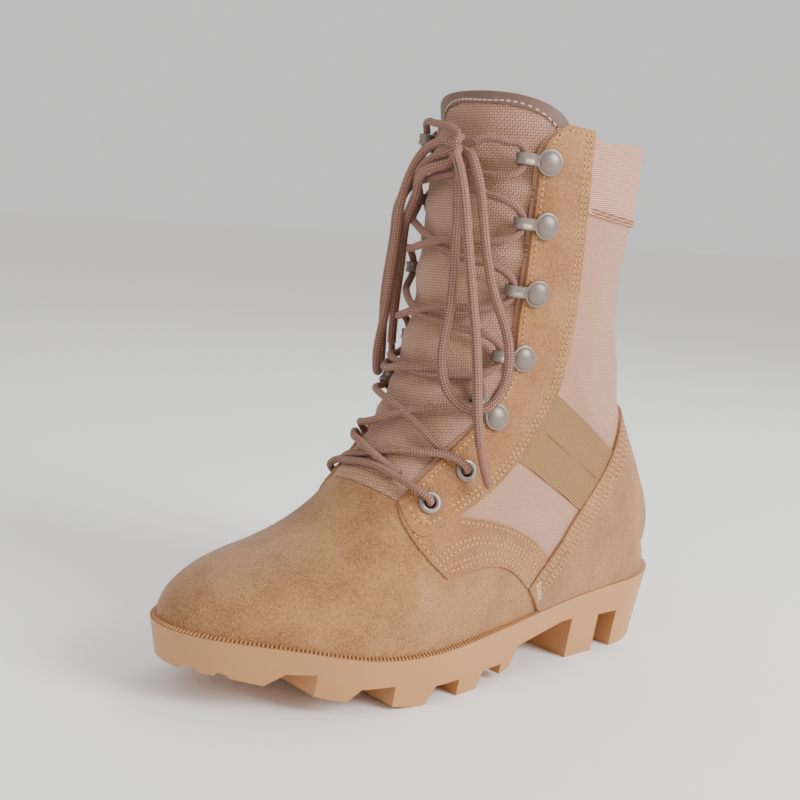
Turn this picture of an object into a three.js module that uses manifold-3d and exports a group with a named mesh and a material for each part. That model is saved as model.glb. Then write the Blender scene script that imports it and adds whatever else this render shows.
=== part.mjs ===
// A left combat boot, men's EU 42-43, in millimetres.
// The floor is z = 0, the toe points to -Y, the outer (lateral) side of the foot is +X,
// and the origin lies under the middle of the sole.
import * as THREE from "three";
import { mergeVertices } from "three/addons/utils/BufferGeometryUtils.js";
import Module from "manifold-3d";

const wasm = await Module();
wasm.setup();

// ---- Driving dimensions ----------------------------------------------------------------
const LENGTH = 304; // outsole, toe to heel
const BALL_WIDTH = 107; // outsole across the ball
const HEEL_HEIGHT = 38; // floor to the top of the sole at the heel
const INSTEP_HEIGHT = 138; // floor to the front of the instep
const SHAFT_HEIGHT = 277; // floor to the front of the collar
const WALL = 2; // upper: nylon and suede with their lining
const OVERLAY = 1.5; // suede eyestays and heel counter
const TONGUE = 4.5; // padded tongue
const INSOLE = 3.5;
const WELT = 3; // ledge of the sole outside the upper
const LASTING = 3; // the upper's form starts this far under the sole's top edge and is cut level
const GAP = 0.3; // between pieces that touch
const LACE = 3.8; // drawn tight in the crossings
const LOOSE_LACE = 4.8; // in the bow
const MEDIAL_RISE = 10.5; // the shaft's inner (medial) side stands this much higher in front
const TOE = -LENGTH / 2;
const HEEL = LENGTH / 2;
const WIDE = 90; // half the length of a cutter that runs right through the boot

// ---- Numbers and curves ----------------------------------------------------------------
const clamp = THREE.MathUtils.clamp;
const lerp = THREE.MathUtils.lerp;
const range = (count) => Array.from({ length: count }, (_, i) => i);

// A natural cubic spline through rows of numbers: returns a function from x to the row at x.
function spline(xs, rows) {
  const last = xs.length - 1;
  const bends = rows[0].map((_, column) => {
    const upper = Array(last + 1).fill(0);
    const right = Array(last + 1).fill(0);
    for (let i = 1; i < last; i++) {
      const before = xs[i] - xs[i - 1];
      const after = xs[i + 1] - xs[i];
      const slopeIn = (rows[i][column] - rows[i - 1][column]) / before;
      const slopeOut = (rows[i + 1][column] - rows[i][column]) / after;
      const pivot = 2 * (before + after) - before * upper[i - 1];
      upper[i] = after / pivot;
      right[i] = (6 * (slopeOut - slopeIn) - before * right[i - 1]) / pivot;
    }
    const bend = Array(last + 1).fill(0);
    for (let i = last - 1; i > 0; i--) bend[i] = right[i] - upper[i] * bend[i + 1];
    return bend;
  });
  return (x) => {
    const inside = clamp(x, xs[0], xs[last]);
    let i = 0;
    while (i < last - 1 && inside > xs[i + 1]) i++;
    const step = xs[i + 1] - xs[i];
    const b = (inside - xs[i]) / step;
    const a = 1 - b;
    return rows[i].map((value, column) => {
      const bend = bends[column];
      const curve = (a ** 3 - a) * bend[i] + (b ** 3 - b) * bend[i + 1];
      return a * value + b * rows[i + 1][column] + (curve * step * step) / 6;
    });
  };
}

// A smooth side-view line through [y, z] points, as count + 1 points.
function smoothLine(points, count) {
  const along = [0];
  for (let i = 1; i < points.length; i++) {
    const dy = points[i][0] - points[i - 1][0];
    const dz = points[i][1] - points[i - 1][1];
    along.push(along[i - 1] + Math.hypot(dy, dz));
  }
  const at = spline(along, points);
  return range(count + 1).map((i) => at((along.at(-1) * i) / count));
}

// The share of full width that a rounded end leaves at a distance from its tip.
function roundEnd(distance, length, power) {
  const share = clamp(distance / length, 0, 1);
  return (1 - (1 - share) ** power) ** (1 / power);
}

// ---- The sole's outline ----------------------------------------------------------------
// at: % of the length from the toe; centre and half: % of half the ball's width;
// top: the sole's top edge, % of the heel's height.
const SOLE = [
  // at, centre, half, top
  [0, -25, 84, 92],
  [14, -14, 94, 83],
  [25, -3, 100, 69],
  [35, 5, 99, 66],
  [47, 10, 89, 72],
  [58, 12, 79, 80],
  [70, 10, 74, 90],
  [85, 7, 74, 100],
  [100, 7, 71, 107],
];
const TOE_ROUND = { length: 78, power: 2.15 };
const HEEL_ROUND = { length: 46, power: 2.1 };
const HALF_BALL = BALL_WIDTH / 2;
const alongFoot = (percent) => TOE + (LENGTH * percent) / 100;
const soleRow = spline(
  SOLE.map((row) => alongFoot(row[0])),
  SOLE.map((row) => row.slice(1)),
);

// The sole at y: its centre line, its half width inside an inset, and the height of its top.
function soleAt(y, inset = 0) {
  const [centre, half, top] = soleRow(y);
  const toe = roundEnd(y - TOE - inset, TOE_ROUND.length, TOE_ROUND.power);
  const heel = roundEnd(HEEL - inset - y, HEEL_ROUND.length, HEEL_ROUND.power);
  return {
    centre: (centre * HALF_BALL) / 100,
    half: ((half * HALF_BALL) / 100 - inset) * toe * heel,
    top: (top * HEEL_HEIGHT) / 100,
  };
}

// ---- The upper's form ------------------------------------------------------------------
// The sections fan from upright at the toe to level at the collar. Each runs from a back point
// (on the sole's edge up to row HEEL_ROW, then up the heel) to a front point on the ridge.
// back, front: % of the length; backUp, frontUp: level, 100 at the instep and 200 at the collar;
// outer, inner: half widths, and centre: % of half the ball's width;
// widest: where the width is full, as a share of the way up; nose, side: roundness above it.
const HEEL_ROW = 7;
const COLUMNS =
  "back backUp front frontUp outer inner centre widest nose side".split(" ");
const SECTIONS = [
  [1.3, 27, 1.3, 42, 78.5, 78.5, -25, 0.32, 2.3, 2.0],
  [10.5, 24, 10.5, 46, 88, 88, -16, 0.32, 2.2, 2.0],
  [22, 20, 19.7, 51, 93.5, 93.5, -6, 0.32, 2.2, 2.0],
  [35.2, 18, 28.3, 64.5, 90, 87, 3, 0.3, 2.1, 2.0],
  [50, 20, 34.2, 82, 84, 83, 7, 0.3, 2.1, 2.0],
  [66.4, 24, 38.8, 100, 80, 84, 7, 0.34, 2.2, 2.1],
  [84.2, 28, 41.4, 117, 78.5, 83, 7, 0.4, 2.3, 2.1],
  [97.9, 30, 43.1, 133, 76.5, 82, 7, 0.42, 2.3, 2.2],
  [98.4, 48, 43.8, 140, 76.5, 82, 7, 0.42, 2.3, 2.2],
  [93.6, 65, 44.4, 147.5, 76.5, 82, 7, 0.42, 2.3, 2.2],
  [86.5, 94, 45.4, 160.5, 78.5, 82, 7, 0.45, 2.3, 2.2],
  [84.9, 134, 46.7, 176.5, 80, 82, 7, 0.48, 2.3, 2.2],
  [86.5, 165, 47.7, 189, 82, 82, 7, 0.5, 2.3, 2.2],
  [87.8, 193, 48.4, 200, 82, 82, 7, 0.5, 2.3, 2.2],
  [89, 213, 49.3, 224, 82, 82, 7, 0.5, 2.3, 2.2],
];
const LAST_ROW = SECTIONS.length - 1;
const TOE_BOX = { length: 60, power: 2.5 };
const sectionRow = spline(range(SECTIONS.length), SECTIONS);

function height(level) {
  if (level < 100) return (INSTEP_HEIGHT * level) / 100;
  return lerp(INSTEP_HEIGHT, SHAFT_HEIGHT, (level - 100) / 100);
}

// Everything about the section at s, in millimetres.
function sectionAt(s) {
  const values = sectionRow(s);
  const row = Object.fromEntries(COLUMNS.map((name, i) => [name, values[i]]));
  const onSole = s <= HEEL_ROW;
  const backY = onSole ? Math.min(alongFoot(row.back), HEEL - WELT) : alongFoot(row.back);
  const sole = soleAt(backY, WELT);
  const edge = sole.top - LASTING;
  const backZ = onSole ? edge : Math.max(edge, height(row.backUp));
  const fromTip = backY - TOE - WELT;
  const narrow = roundEnd(fromTip, TOE_ROUND.length, TOE_ROUND.power);
  const rise = roundEnd(fromTip, TOE_BOX.length, TOE_BOX.power);
  return {
    backY,
    backZ,
    frontY: lerp(backY, alongFoot(row.front), rise),
    frontZ: lerp(backZ, height(row.frontUp), rise),
    outer: (row.outer * HALF_BALL * narrow) / 100,
    inner: (row.inner * HALF_BALL * narrow) / 100,
    footing: onSole ? sole.half : 0,
    soleCentre: onSole ? sole.centre : (row.centre * HALF_BALL) / 100,
    centre: (row.centre * HALF_BALL) / 100,
    widest: row.widest,
    nose: row.nose,
    side: row.side,
  };
}

function halfWidth(section, f, full) {
  const { widest, footing, nose, side } = section;
  if (f < widest) {
    const share = 1 - ((widest - f) / widest) ** 2;
    return Math.sqrt(Math.max(0, footing ** 2 + (full ** 2 - footing ** 2) * share));
  }
  return full * Math.max(0, 1 - ((f - widest) / (1 - widest)) ** nose) ** (1 / side);
}

// The point at share f of the way up section s, on side 1 (outer) or -1 (inner).
function formPoint(s, f, side) {
  const section = sectionAt(s);
  const full = side > 0 ? section.outer : section.inner;
  const centre = lerp(section.soleCentre, section.centre, clamp(1.5 * f, 0, 1));
  return new THREE.Vector3(
    centre + side * halfWidth(section, f, full),
    lerp(section.backY, section.frontY, f),
    lerp(section.backZ, section.frontZ, f),
  );
}

// The outward unit normal there.
function formNormal(s, f, side) {
  const step = 0.004;
  const low = clamp(f, step, 1 - 2 * step);
  const alongS = formPoint(s + step, low, side).sub(formPoint(s - step, low, side));
  const alongF = formPoint(s, low + step, side).sub(formPoint(s, low - step, side));
  return alongF.cross(alongS).multiplyScalar(-side).normalize();
}

// The s whose section passes through (y, z) in side view, by halving.
function findSection(passes, from, to) {
  let low = from;
  let high = to;
  for (let i = 0; i < 40; i++) {
    const middle = (low + high) / 2;
    if (passes(middle)) low = middle;
    else high = middle;
  }
  return (low + high) / 2;
}

// The place on one side of the form that has (y, z) in side view, with its normal.
function sidePlace(y, z, side) {
  const s = findSection(
    (trial) => {
      const { backY, backZ, frontY, frontZ } = sectionAt(trial);
      return (frontY - backY) * (z - backZ) - (frontZ - backZ) * (y - backY) <= 0;
    },
    0.5,
    LAST_ROW,
  );
  const { backY, backZ, frontY, frontZ } = sectionAt(s);
  const f = Math.hypot(y - backY, z - backZ) / Math.hypot(frontY - backY, frontZ - backZ);
  return { point: formPoint(s, f, side), normal: formNormal(s, f, side) };
}

// The point on the front of the form at x and z, moved out along the normal.
function frontPoint(x, z, out) {
  const shareAt = (section, side) => {
    const full = side > 0 ? section.outer : section.inner;
    const share = clamp(Math.abs(x - section.centre) / full, 0, 1);
    const { widest, nose, side: power } = section;
    return widest + (1 - widest) * (1 - share ** power) ** (1 / nose);
  };
  const side = Math.sign(x - sectionAt(LAST_ROW).centre) || 1;
  const heightAt = (s) => {
    const section = sectionAt(s);
    return lerp(section.backZ, section.frontZ, shareAt(section, side));
  };
  const s = findSection((trial) => heightAt(trial) < z, 2, LAST_ROW);
  const f = shareAt(sectionAt(s), side);
  return formPoint(s, f, side).addScaledVector(formNormal(s, f, side), out);
}

// ---- Solids ----------------------------------------------------------------------------
// A geometry with shared vertices merged and the triangles that collapsed left out.
function welded(geometry) {
  const bare = new THREE.BufferGeometry();
  bare.setAttribute("position", geometry.getAttribute("position"));
  bare.setIndex(geometry.index);
  const merged = mergeVertices(bare, 1e-4);
  const index = [];
  for (let i = 0; i < merged.index.count; i += 3) {
    const [a, b, c] = [0, 1, 2].map((k) => merged.index.getX(i + k));
    if (a !== b && b !== c && c !== a) index.push(a, b, c);
  }
  return merged.setIndex(index);
}

function solidOf(geometry) {
  const { attributes, index } = welded(geometry);
  const mesh = new wasm.Mesh({
    numProp: 3,
    vertProperties: new Float32Array(attributes.position.array),
    triVerts: new Uint32Array(index.array),
  });
  return new wasm.Manifold(mesh);
}

// A closed surface through rings of points. Each ring is joined to the next, and the first and
// last are closed by a fan.
function loft(rings) {
  const points = [];
  const triangle = (a, b, c) => points.push(a, b, c);
  const size = rings[0].length;
  for (let i = 0; i + 1 < rings.length; i++) {
    for (const j of range(size)) {
      const k = (j + 1) % size;
      triangle(rings[i][j], rings[i + 1][j], rings[i + 1][k]);
      triangle(rings[i][j], rings[i + 1][k], rings[i][k]);
    }
  }
  const middle = (ring) =>
    ring.reduce((sum, p) => sum.add(p), new THREE.Vector3()).divideScalar(size);
  const first = rings[0];
  const last = rings.at(-1);
  for (const j of range(size)) {
    const k = (j + 1) % size;
    triangle(middle(first), first[j], first[k]);
    triangle(middle(last), last[k], last[j]);
  }
  return welded(new THREE.BufferGeometry().setFromPoints(points));
}

// Rows and columns of the form's mesh, closer together where it turns quickly.
const FORM_ROWS = [
  ...range(5).map((i) => (i / 5) ** 2),
  ...range(7).map((i) => 1 + (5 * i) / 7),
  ...range(5).map((i) => HEEL_ROW - (1 - i / 5) ** 2),
  ...range(5).map((i) => HEEL_ROW + i / 2),
  ...range(6).map((i) => HEEL_ROW + 2.5 + (i * 4.5) / 5),
];
const LOW_COLUMNS = 3;
const HIGH_COLUMNS = 5;
function columnShares(widest) {
  const low = range(LOW_COLUMNS).map((i) => {
    const turn = ((i / LOW_COLUMNS) * Math.PI) / 2;
    return widest * (1 - Math.cos(turn));
  });
  const high = range(HIGH_COLUMNS + 1).map((i) => {
    const turn = ((i / HIGH_COLUMNS) * Math.PI) / 2;
    return widest + (1 - widest) * Math.sin(turn);
  });
  return [...low, ...high];
}

// The whole form as a solid, swollen outwards by out, from row `from` to above the collar.
function form(out, from = 0) {
  const rings = FORM_ROWS.filter((s) => s >= from).map((s) => {
    const shares = columnShares(sectionAt(s).widest);
    const outer = shares.map((f) => formPoint(s, f, 1));
    const inner = shares.map((f) => formPoint(s, f, -1));
    return [...outer, ...inner.reverse()];
  });
  const geometry = loft(rings);
  geometry.computeVertexNormals();
  const { position, normal } = geometry.attributes;
  for (let i = 0; i < position.count; i++) {
    position.setXYZ(
      i,
      position.getX(i) + out * normal.getX(i),
      position.getY(i) + out * normal.getY(i),
      position.getZ(i) + out * normal.getZ(i),
    );
  }
  return solidOf(geometry);
}

// A bar along X whose side view is the closed line of [y, z] points.
function sideBar(points, from = -WIDE, to = WIDE) {
  const shape = new THREE.Shape(points.map(([y, z]) => new THREE.Vector2(y, z)));
  const bar = new THREE.ExtrudeGeometry(shape, { depth: to - from, bevelEnabled: false });
  const yzx = new THREE.Matrix4().makeBasis(
    new THREE.Vector3(0, 1, 0),
    new THREE.Vector3(0, 0, 1),
    new THREE.Vector3(1, 0, 0),
  );
  return solidOf(bar.applyMatrix4(yzx.setPosition(from, 0, 0)));
}

// A cord through the points, with one straight step from each to the next.
function tube(points, width) {
  const sides = 8;
  const circle = range(sides).map((i) => {
    const turn = (2 * Math.PI * i) / sides;
    return new THREE.Vector2(Math.cos(turn), Math.sin(turn)).multiplyScalar(width / 2);
  });
  const path = new THREE.CatmullRomCurve3(points, false, "catmullrom", 0.5);
  path.getPointAt = path.getPoint;
  path.getTangentAt = path.getTangent;
  const settings = { steps: points.length - 1, bevelEnabled: false, extrudePath: path };
  return solidOf(new THREE.ExtrudeGeometry(new THREE.Shape(circle), settings));
}

// ---- Side-view lines, as [y, z] points -------------------------------------------------
const EYESTAY_FRONT = [
  [-51.5, 93],
  [-27, 114],
  [-11, 127.5],
  [3, 142.5],
  [11, 156],
  [12.5, 172],
  [12.5, 210],
  [14, 246],
  [17.5, 265],
  [27, 274],
];
const EYESTAY_REAR = [
  [-26, 86.5],
  [-14, 92],
  [0.5, 100.5],
  [15, 113],
  [30.5, 131],
  [38.5, 144],
  [41.5, 162],
  [43, 198],
  [43, 230],
  [42.5, 258],
  [43, 272],
];
const SADDLE_TOP = [
  [-26, 86.5],
  [-8.5, 83.5],
  [5, 80],
  [15.5, 75.5],
  [26, 69.5],
  [36.5, 60.5],
];
const SADDLE_FRONT = [
  [-34, 58.5],
  [-42, 66],
  [-50, 77],
  [-52.5, 86],
  [-51.5, 93],
];
const SADDLE_ARCH = [
  [22.5, 46.3],
  [13, 54.5],
  [5, 59],
  [-4, 61],
  [-16, 61.3],
  [-28, 59.8],
  [-34, 58.5],
];
const COUNTER_EDGE = [
  [23.5, 46],
  [32, 54.3],
  [40, 61],
  [54, 76],
  [67, 89.5],
  [76, 100],
  [83, 112],
  [88.5, 124],
  [97, 130.5],
  [125, 133],
];
const COUNTER_FOOT = 34.5; // y at which the counter's front edge meets the sole
const COLLAR = [
  [43, 272],
  [47, 268.5],
  [62, 267.5],
  [85, 268],
  [120, 266.5],
];
const TONGUE_REAR = [
  [-46, 74],
  [-25, 92],
  [-5, 107],
  [12, 124],
  [24, 143],
  [28.5, 162],
  [29, 210],
];
const TONGUE_TOP = {
  lateral: [
    [31, 246],
    [32.5, 262],
    [28, 275],
    [14, 284],
    [-4, 288],
    [-20, 288.5],
  ],
  medial: [
    [25, 240],
    [17, 256],
    [11, 270],
    [6, 280],
    [-4, 288],
    [-20, 288.5],
  ],
};
const OUTSIDE = 22; // cutters reach this far past the sole's ends

const soleTopLine = (from, to, lift) =>
  range(25).map((i) => {
    const y = lerp(from, to, i / 24);
    return [y, soleAt(clamp(y, TOE, HEEL)).top + lift];
  });
const eyestayFront = smoothLine(EYESTAY_FRONT, 22);
const counterEdge = smoothLine(COUNTER_EDGE, 20);

// How much higher a side-view point of the medial side stands.
function medialRise(y, z) {
  return MEDIAL_RISE * clamp((z - 125) / 100, 0, 1) * clamp((100 - y) / 55, 0, 1);
}

const SIDES = { lateral: 1, medial: -1 };
const raised = (line, side) =>
  side > 0 ? line : line.map(([y, z, ...rest]) => [y, z + medialRise(y, z), ...rest]);

function upperOutline() {
  return [
    ...soleTopLine(TOE - OUTSIDE, HEEL + OUTSIDE, GAP),
    [HEEL + OUTSIDE, COLLAR.at(-1)[1]],
    ...smoothLine(COLLAR, 10).reverse(),
    ...[...eyestayFront].reverse(),
    [-70, 107],
    [TOE - OUTSIDE, 107],
  ];
}

function eyestayOutline() {
  const seam = counterEdge.filter(([y]) => y < SADDLE_TOP.at(-1)[0]);
  return [
    ...eyestayFront,
    ...smoothLine(EYESTAY_REAR, 20).reverse(),
    ...smoothLine(SADDLE_TOP, 8).slice(1),
    ...seam.map(([y, z]) => [y - 2 * GAP, z + GAP]).reverse(),
    ...smoothLine(SADDLE_ARCH, 10).slice(1),
    ...smoothLine(SADDLE_FRONT, 6).slice(1, -1),
  ];
}

function counterOutline() {
  return [
    ...counterEdge,
    [HEEL + OUTSIDE, counterEdge.at(-1)[1]],
    ...soleTopLine(HEEL + OUTSIDE, COUNTER_FOOT, GAP),
  ];
}

function tongueOutline(name) {
  const rear = smoothLine([...TONGUE_REAR, ...TONGUE_TOP[name]], 26);
  return [...rear, [-90, rear.at(-1)[1]], [-90, 74]];
}

// ---- Hooks and eyelets -----------------------------------------------------------------
// y, z: the rivet in side view; ahead, up: which way the hook's arm points there.
const HOOKS = [
  // y, z, ahead, up
  [0.2, 132, -0.75, 0.66],
  [16.2, 160.4, -1, 0.08],
  [18.6, 192.6, -1, 0.05],
  [19.4, 225, -1, 0.05],
  [18.6, 255, -1, 0.08],
];
const EYELETS = [
  // y, z, ahead, up
  [-38.2, 92.6, -0.72, 0.69],
  [-17.6, 106.9, -0.72, 0.69],
];
const HOOK = { base: 2.5, plate: 6.6, rivet: 5.2, sheet: 1.2, arm: 5.6, reach: 13.6, bend: 2.5 };
const EYELET = { hole: 4.4, barrel: 4, bore: 3, flange: 5.6, base: 2.4 };

// A piece's own frame: x along its arm, y out of the leather, origin on the form's surface.
function fittingFrame([y, z, ahead, up], side) {
  const { point, normal } = sidePlace(y, z, side);
  const arm = new THREE.Vector3(0, ahead, up);
  arm.addScaledVector(normal, -arm.dot(normal)).normalize();
  const across = new THREE.Vector3().crossVectors(arm, normal);
  return new THREE.Matrix4().makeBasis(arm, normal, across).setPosition(point);
}

// The side view of a hook's arm: a strip that leaves the plate, steps up and curls under.
function hookArm() {
  const { base, sheet, arm, reach, bend } = HOOK;
  const outer = bend + sheet;
  const middle = base + 0.1;
  const shape = new THREE.Shape();
  shape.moveTo(0, base);
  shape.lineTo(6, base);
  shape.lineTo(9, middle + bend);
  shape.lineTo(reach, middle + bend);
  shape.absarc(reach, middle, bend, Math.PI / 2, -Math.PI / 2, true);
  shape.lineTo(reach - 2, middle - bend);
  shape.lineTo(reach - 2, middle - outer);
  shape.lineTo(reach, middle - outer);
  shape.absarc(reach, middle, outer, -Math.PI / 2, Math.PI / 2, false);
  shape.lineTo(8.4, middle + outer);
  shape.lineTo(5.4, base + sheet);
  shape.lineTo(0, base + sheet);
  shape.closePath();
  const settings = { depth: arm, bevelEnabled: false, curveSegments: 3 };
  return new THREE.ExtrudeGeometry(shape, settings).translate(0, 0, -arm / 2);
}

function hookSolid(frame) {
  const { base, plate, rivet, sheet } = HOOK;
  const disc = new THREE.CylinderGeometry(plate, plate, sheet, 10);
  disc.translate(0, base + sheet / 2, 0);
  const head = new THREE.CylinderGeometry(rivet - 0.9, rivet, 1.8, 10).translate(0, base + 2, 0);
  return solidOf(disc.applyMatrix4(frame))
    .add(solidOf(head.applyMatrix4(frame)))
    .add(solidOf(hookArm().applyMatrix4(frame)));
}

function eyeletSolid(frame) {
  const { bore, barrel, flange, base } = EYELET;
  const profile = [
    [bore, -WALL + 0.2],
    [barrel, -WALL + 0.2],
    [barrel, base],
    [flange, base],
    [flange - 0.3, base + 0.8],
    [flange - 1.4, base + 1.1],
    [bore, base + 0.8],
    [bore, -WALL + 0.2],
  ];
  const points = profile.map(([r, h]) => new THREE.Vector2(r, h));
  return solidOf(new THREE.LatheGeometry(points, 12).applyMatrix4(frame));
}

const eyeletHole = (frame) =>
  solidOf(new THREE.CylinderGeometry(EYELET.hole, EYELET.hole, 16, 12).applyMatrix4(frame));

const frames = {};
for (const [name, side] of Object.entries(SIDES)) {
  frames[name] = {
    hooks: raised(HOOKS, side).map((row) => fittingFrame(row, side)),
    eyelets: raised(EYELETS, side).map((row) => fittingFrame(row, side)),
  };
}

// ---- Sole ------------------------------------------------------------------------------
const SIDE_TAPER = 0.15; // inwards, per millimetre down the side wall
// The underside in side view, grooves filled: notched toe spring, flat ball, arch and heel.
const UNDERSIDE = [
  [TOE - OUTSIDE, 18],
  [-147.5, 17.6],
  [-147, 19.6],
  [-143, 19.5],
  [-142.5, 17.4],
  [-138, 17.2],
  [-137.5, 18.9],
  [-133.5, 18.4],
  [-133, 16.7],
  [-118, 13.8],
  [-94, 8.2],
  [-70, 3.4],
  [-55, 0.6],
  [-50, 0],
  [-9, 0],
  [4, 2.5],
  [17, 5.5],
  [20, 16],
  [38, 19],
  [58, 22.4],
  [66, 22.4],
  [66, 0],
  [134, 0],
  [146, 3.5],
  [HEEL + OUTSIDE, 14],
];
// Grooves between the lugs, from behind one lug, up a bevel to the roof, to the next lug's front.
const GROOVES = [
  // start, startUp, roofStart, roof, end, rib (half width left standing in the middle)
  [-121, 14.4, -113.5, 20.5, -101, 7],
  [-87, 6.8, -81, 12.5, -64, 7],
  [-45, 0, -39.5, 8.5, -23.5, 7],
  [-9, 0, -5, 9, 9, 7],
  [88.5, 0, 88.5, 21, 104, 0],
];

function outsoleSolid() {
  const rows = range(31).map((i) => -Math.cos((Math.PI * i) / 30));
  const floor = -1;
  const rings = rows.map((share) => {
    const top = soleAt(share * HEEL);
    const inset = SIDE_TAPER * (top.top - floor);
    const lowY = share * (HEEL - inset);
    const low = soleAt(lowY, inset);
    return [
      new THREE.Vector3(top.centre + top.half, share * HEEL, top.top),
      new THREE.Vector3(top.centre - top.half, share * HEEL, top.top),
      new THREE.Vector3(low.centre - low.half, lowY, floor),
      new THREE.Vector3(low.centre + low.half, lowY, floor),
    ];
  });
  const above = HEEL_HEIGHT * 2;
  const profile = [...UNDERSIDE, [HEEL + OUTSIDE, above], [TOE - OUTSIDE, above]];
  let sole = solidOf(loft(rings)).intersect(sideBar(profile));
  for (const [start, startUp, roofStart, roof, end, rib] of GROOVES) {
    const groove = [
      [start, floor - 1],
      [start, startUp],
      [roofStart, roof],
      [end, roof],
      [end, floor - 1],
    ];
    const spans = rib ? [[rib, WIDE], [-WIDE, -rib]] : [[-WIDE, WIDE]];
    for (const span of spans) sole = sole.subtract(sideBar(groove, ...span));
  }
  return sole;
}

function insoleSolid() {
  const inset = WELT + WALL + 3.5;
  const rings = range(17).map((i) => {
    const y = -Math.cos((Math.PI * i) / 16) * (HEEL - inset);
    const { centre, half } = soleAt(y, inset);
    const low = soleAt(y).top + GAP;
    return [
      new THREE.Vector3(centre + half, y, low + INSOLE),
      new THREE.Vector3(centre - half, y, low + INSOLE),
      new THREE.Vector3(centre - half, y, low),
      new THREE.Vector3(centre + half, y, low),
    ];
  });
  return solidOf(loft(rings));
}

// ---- Laces -----------------------------------------------------------------------------
const LACE_LIFT = 2.4; // of a crossing above the form
const HOOK_LIFT = HOOK.base + 0.1;

// A point given in a fitting's frame: along the arm, out of the leather, and up the edge.
const inFrame = (frame, arm, out, up, side) =>
  new THREE.Vector3(arm, out, up * side).applyMatrix4(frame);

const passHook = (frame, side) => [
  inFrame(frame, HOOK.reach + 2.4, HOOK_LIFT - 0.2, -6.6, side),
  inFrame(frame, HOOK.reach - 0.3, HOOK_LIFT, -3.4, side),
  inFrame(frame, HOOK.reach - 0.3, HOOK_LIFT, 3.4, side),
  inFrame(frame, HOOK.reach + 2.4, HOOK_LIFT - 0.2, 6.6, side),
];

const intoEyelet = (frame, side) => [
  inFrame(frame, 5, EYELET.base + 3.4, 0, side),
  inFrame(frame, 1.2, EYELET.base + 2.6, 0, side),
  inFrame(frame, 0, EYELET.base, 0, side),
  inFrame(frame, 0, -1, 0, side),
];

// Evenly spread points over the front of the tongue between two points.
const across = (from, to) =>
  [0.25, 0.5, 0.76].map((share) =>
    frontPoint(lerp(from.x, to.x, share), lerp(from.z, to.z, share), LACE_LIFT),
  );

const overFront = (points) => points.map(([x, z]) => frontPoint(x, z, LACE_LIFT));

// The bar over the lowest eyelets and the cross above it, which touch.
function lowLacing() {
  const [low, high] = [0, 1];
  const bar = [
    ...intoEyelet(frames.lateral.eyelets[low], 1).reverse(),
    ...overFront([[23.6, 103], [12.6, 106.5], [1.6, 106.5], [-9.4, 104.5], [-19.4, 102]]),
    ...intoEyelet(frames.medial.eyelets[low], -1),
  ];
  const outward = [
    ...overFront([[24.6, 104], [14.6, 109], [4.6, 112.5], [-7.4, 115], [-18.4, 114.5]]),
    ...intoEyelet(frames.medial.eyelets[high], -1),
  ];
  const inward = [
    ...overFront([[-18.4, 103], [-7.4, 108], [5.6, 111.5], [16.6, 114.2], [26, 114.6]]),
    ...intoEyelet(frames.lateral.eyelets[high], 1),
  ];
  return tube(bar, LACE).add(tube(outward, LACE)).add(tube(inward, LACE));
}

// One of the two strands that zigzag up the hooks from the edge beside an upper eyelet.
function strand(start, end, firstSide) {
  const points = overFront(start);
  let side = firstSide;
  for (const level of range(HOOKS.length)) {
    const frame = frames[side > 0 ? "lateral" : "medial"].hooks[level];
    const pass = passHook(frame, side);
    points.push(...(level ? across(points.at(-1), pass[0]) : []), ...pass);
    side = -side;
  }
  points.push(...end.map(([x, y, z]) => new THREE.Vector3(x, y, z)));
  return tube(points, LACE);
}

// The ends of the two strands beside the knot, and their starts as [x, z] on the front.
const STRANDS = [
  {
    side: -1,
    start: [[28.1, 120], [20.6, 127], [10.6, 133], [-2.4, 137], [-16.4, 138]],
    end: [[-22.5, -1, 275], [-9, -8, 273], [1, -10.5, 271.5], [8, -12, 269.5], [11.3, -13, 268.4]],
  },
  {
    side: 1,
    start: [[-22.4, 119], [-10.4, 122.5], [1.6, 126], [13.6, 131.5], [23.6, 135]],
    end: [[35, -1, 263.5], [29, -8, 265], [23, -12.3, 262.8]],
  },
];

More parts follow.
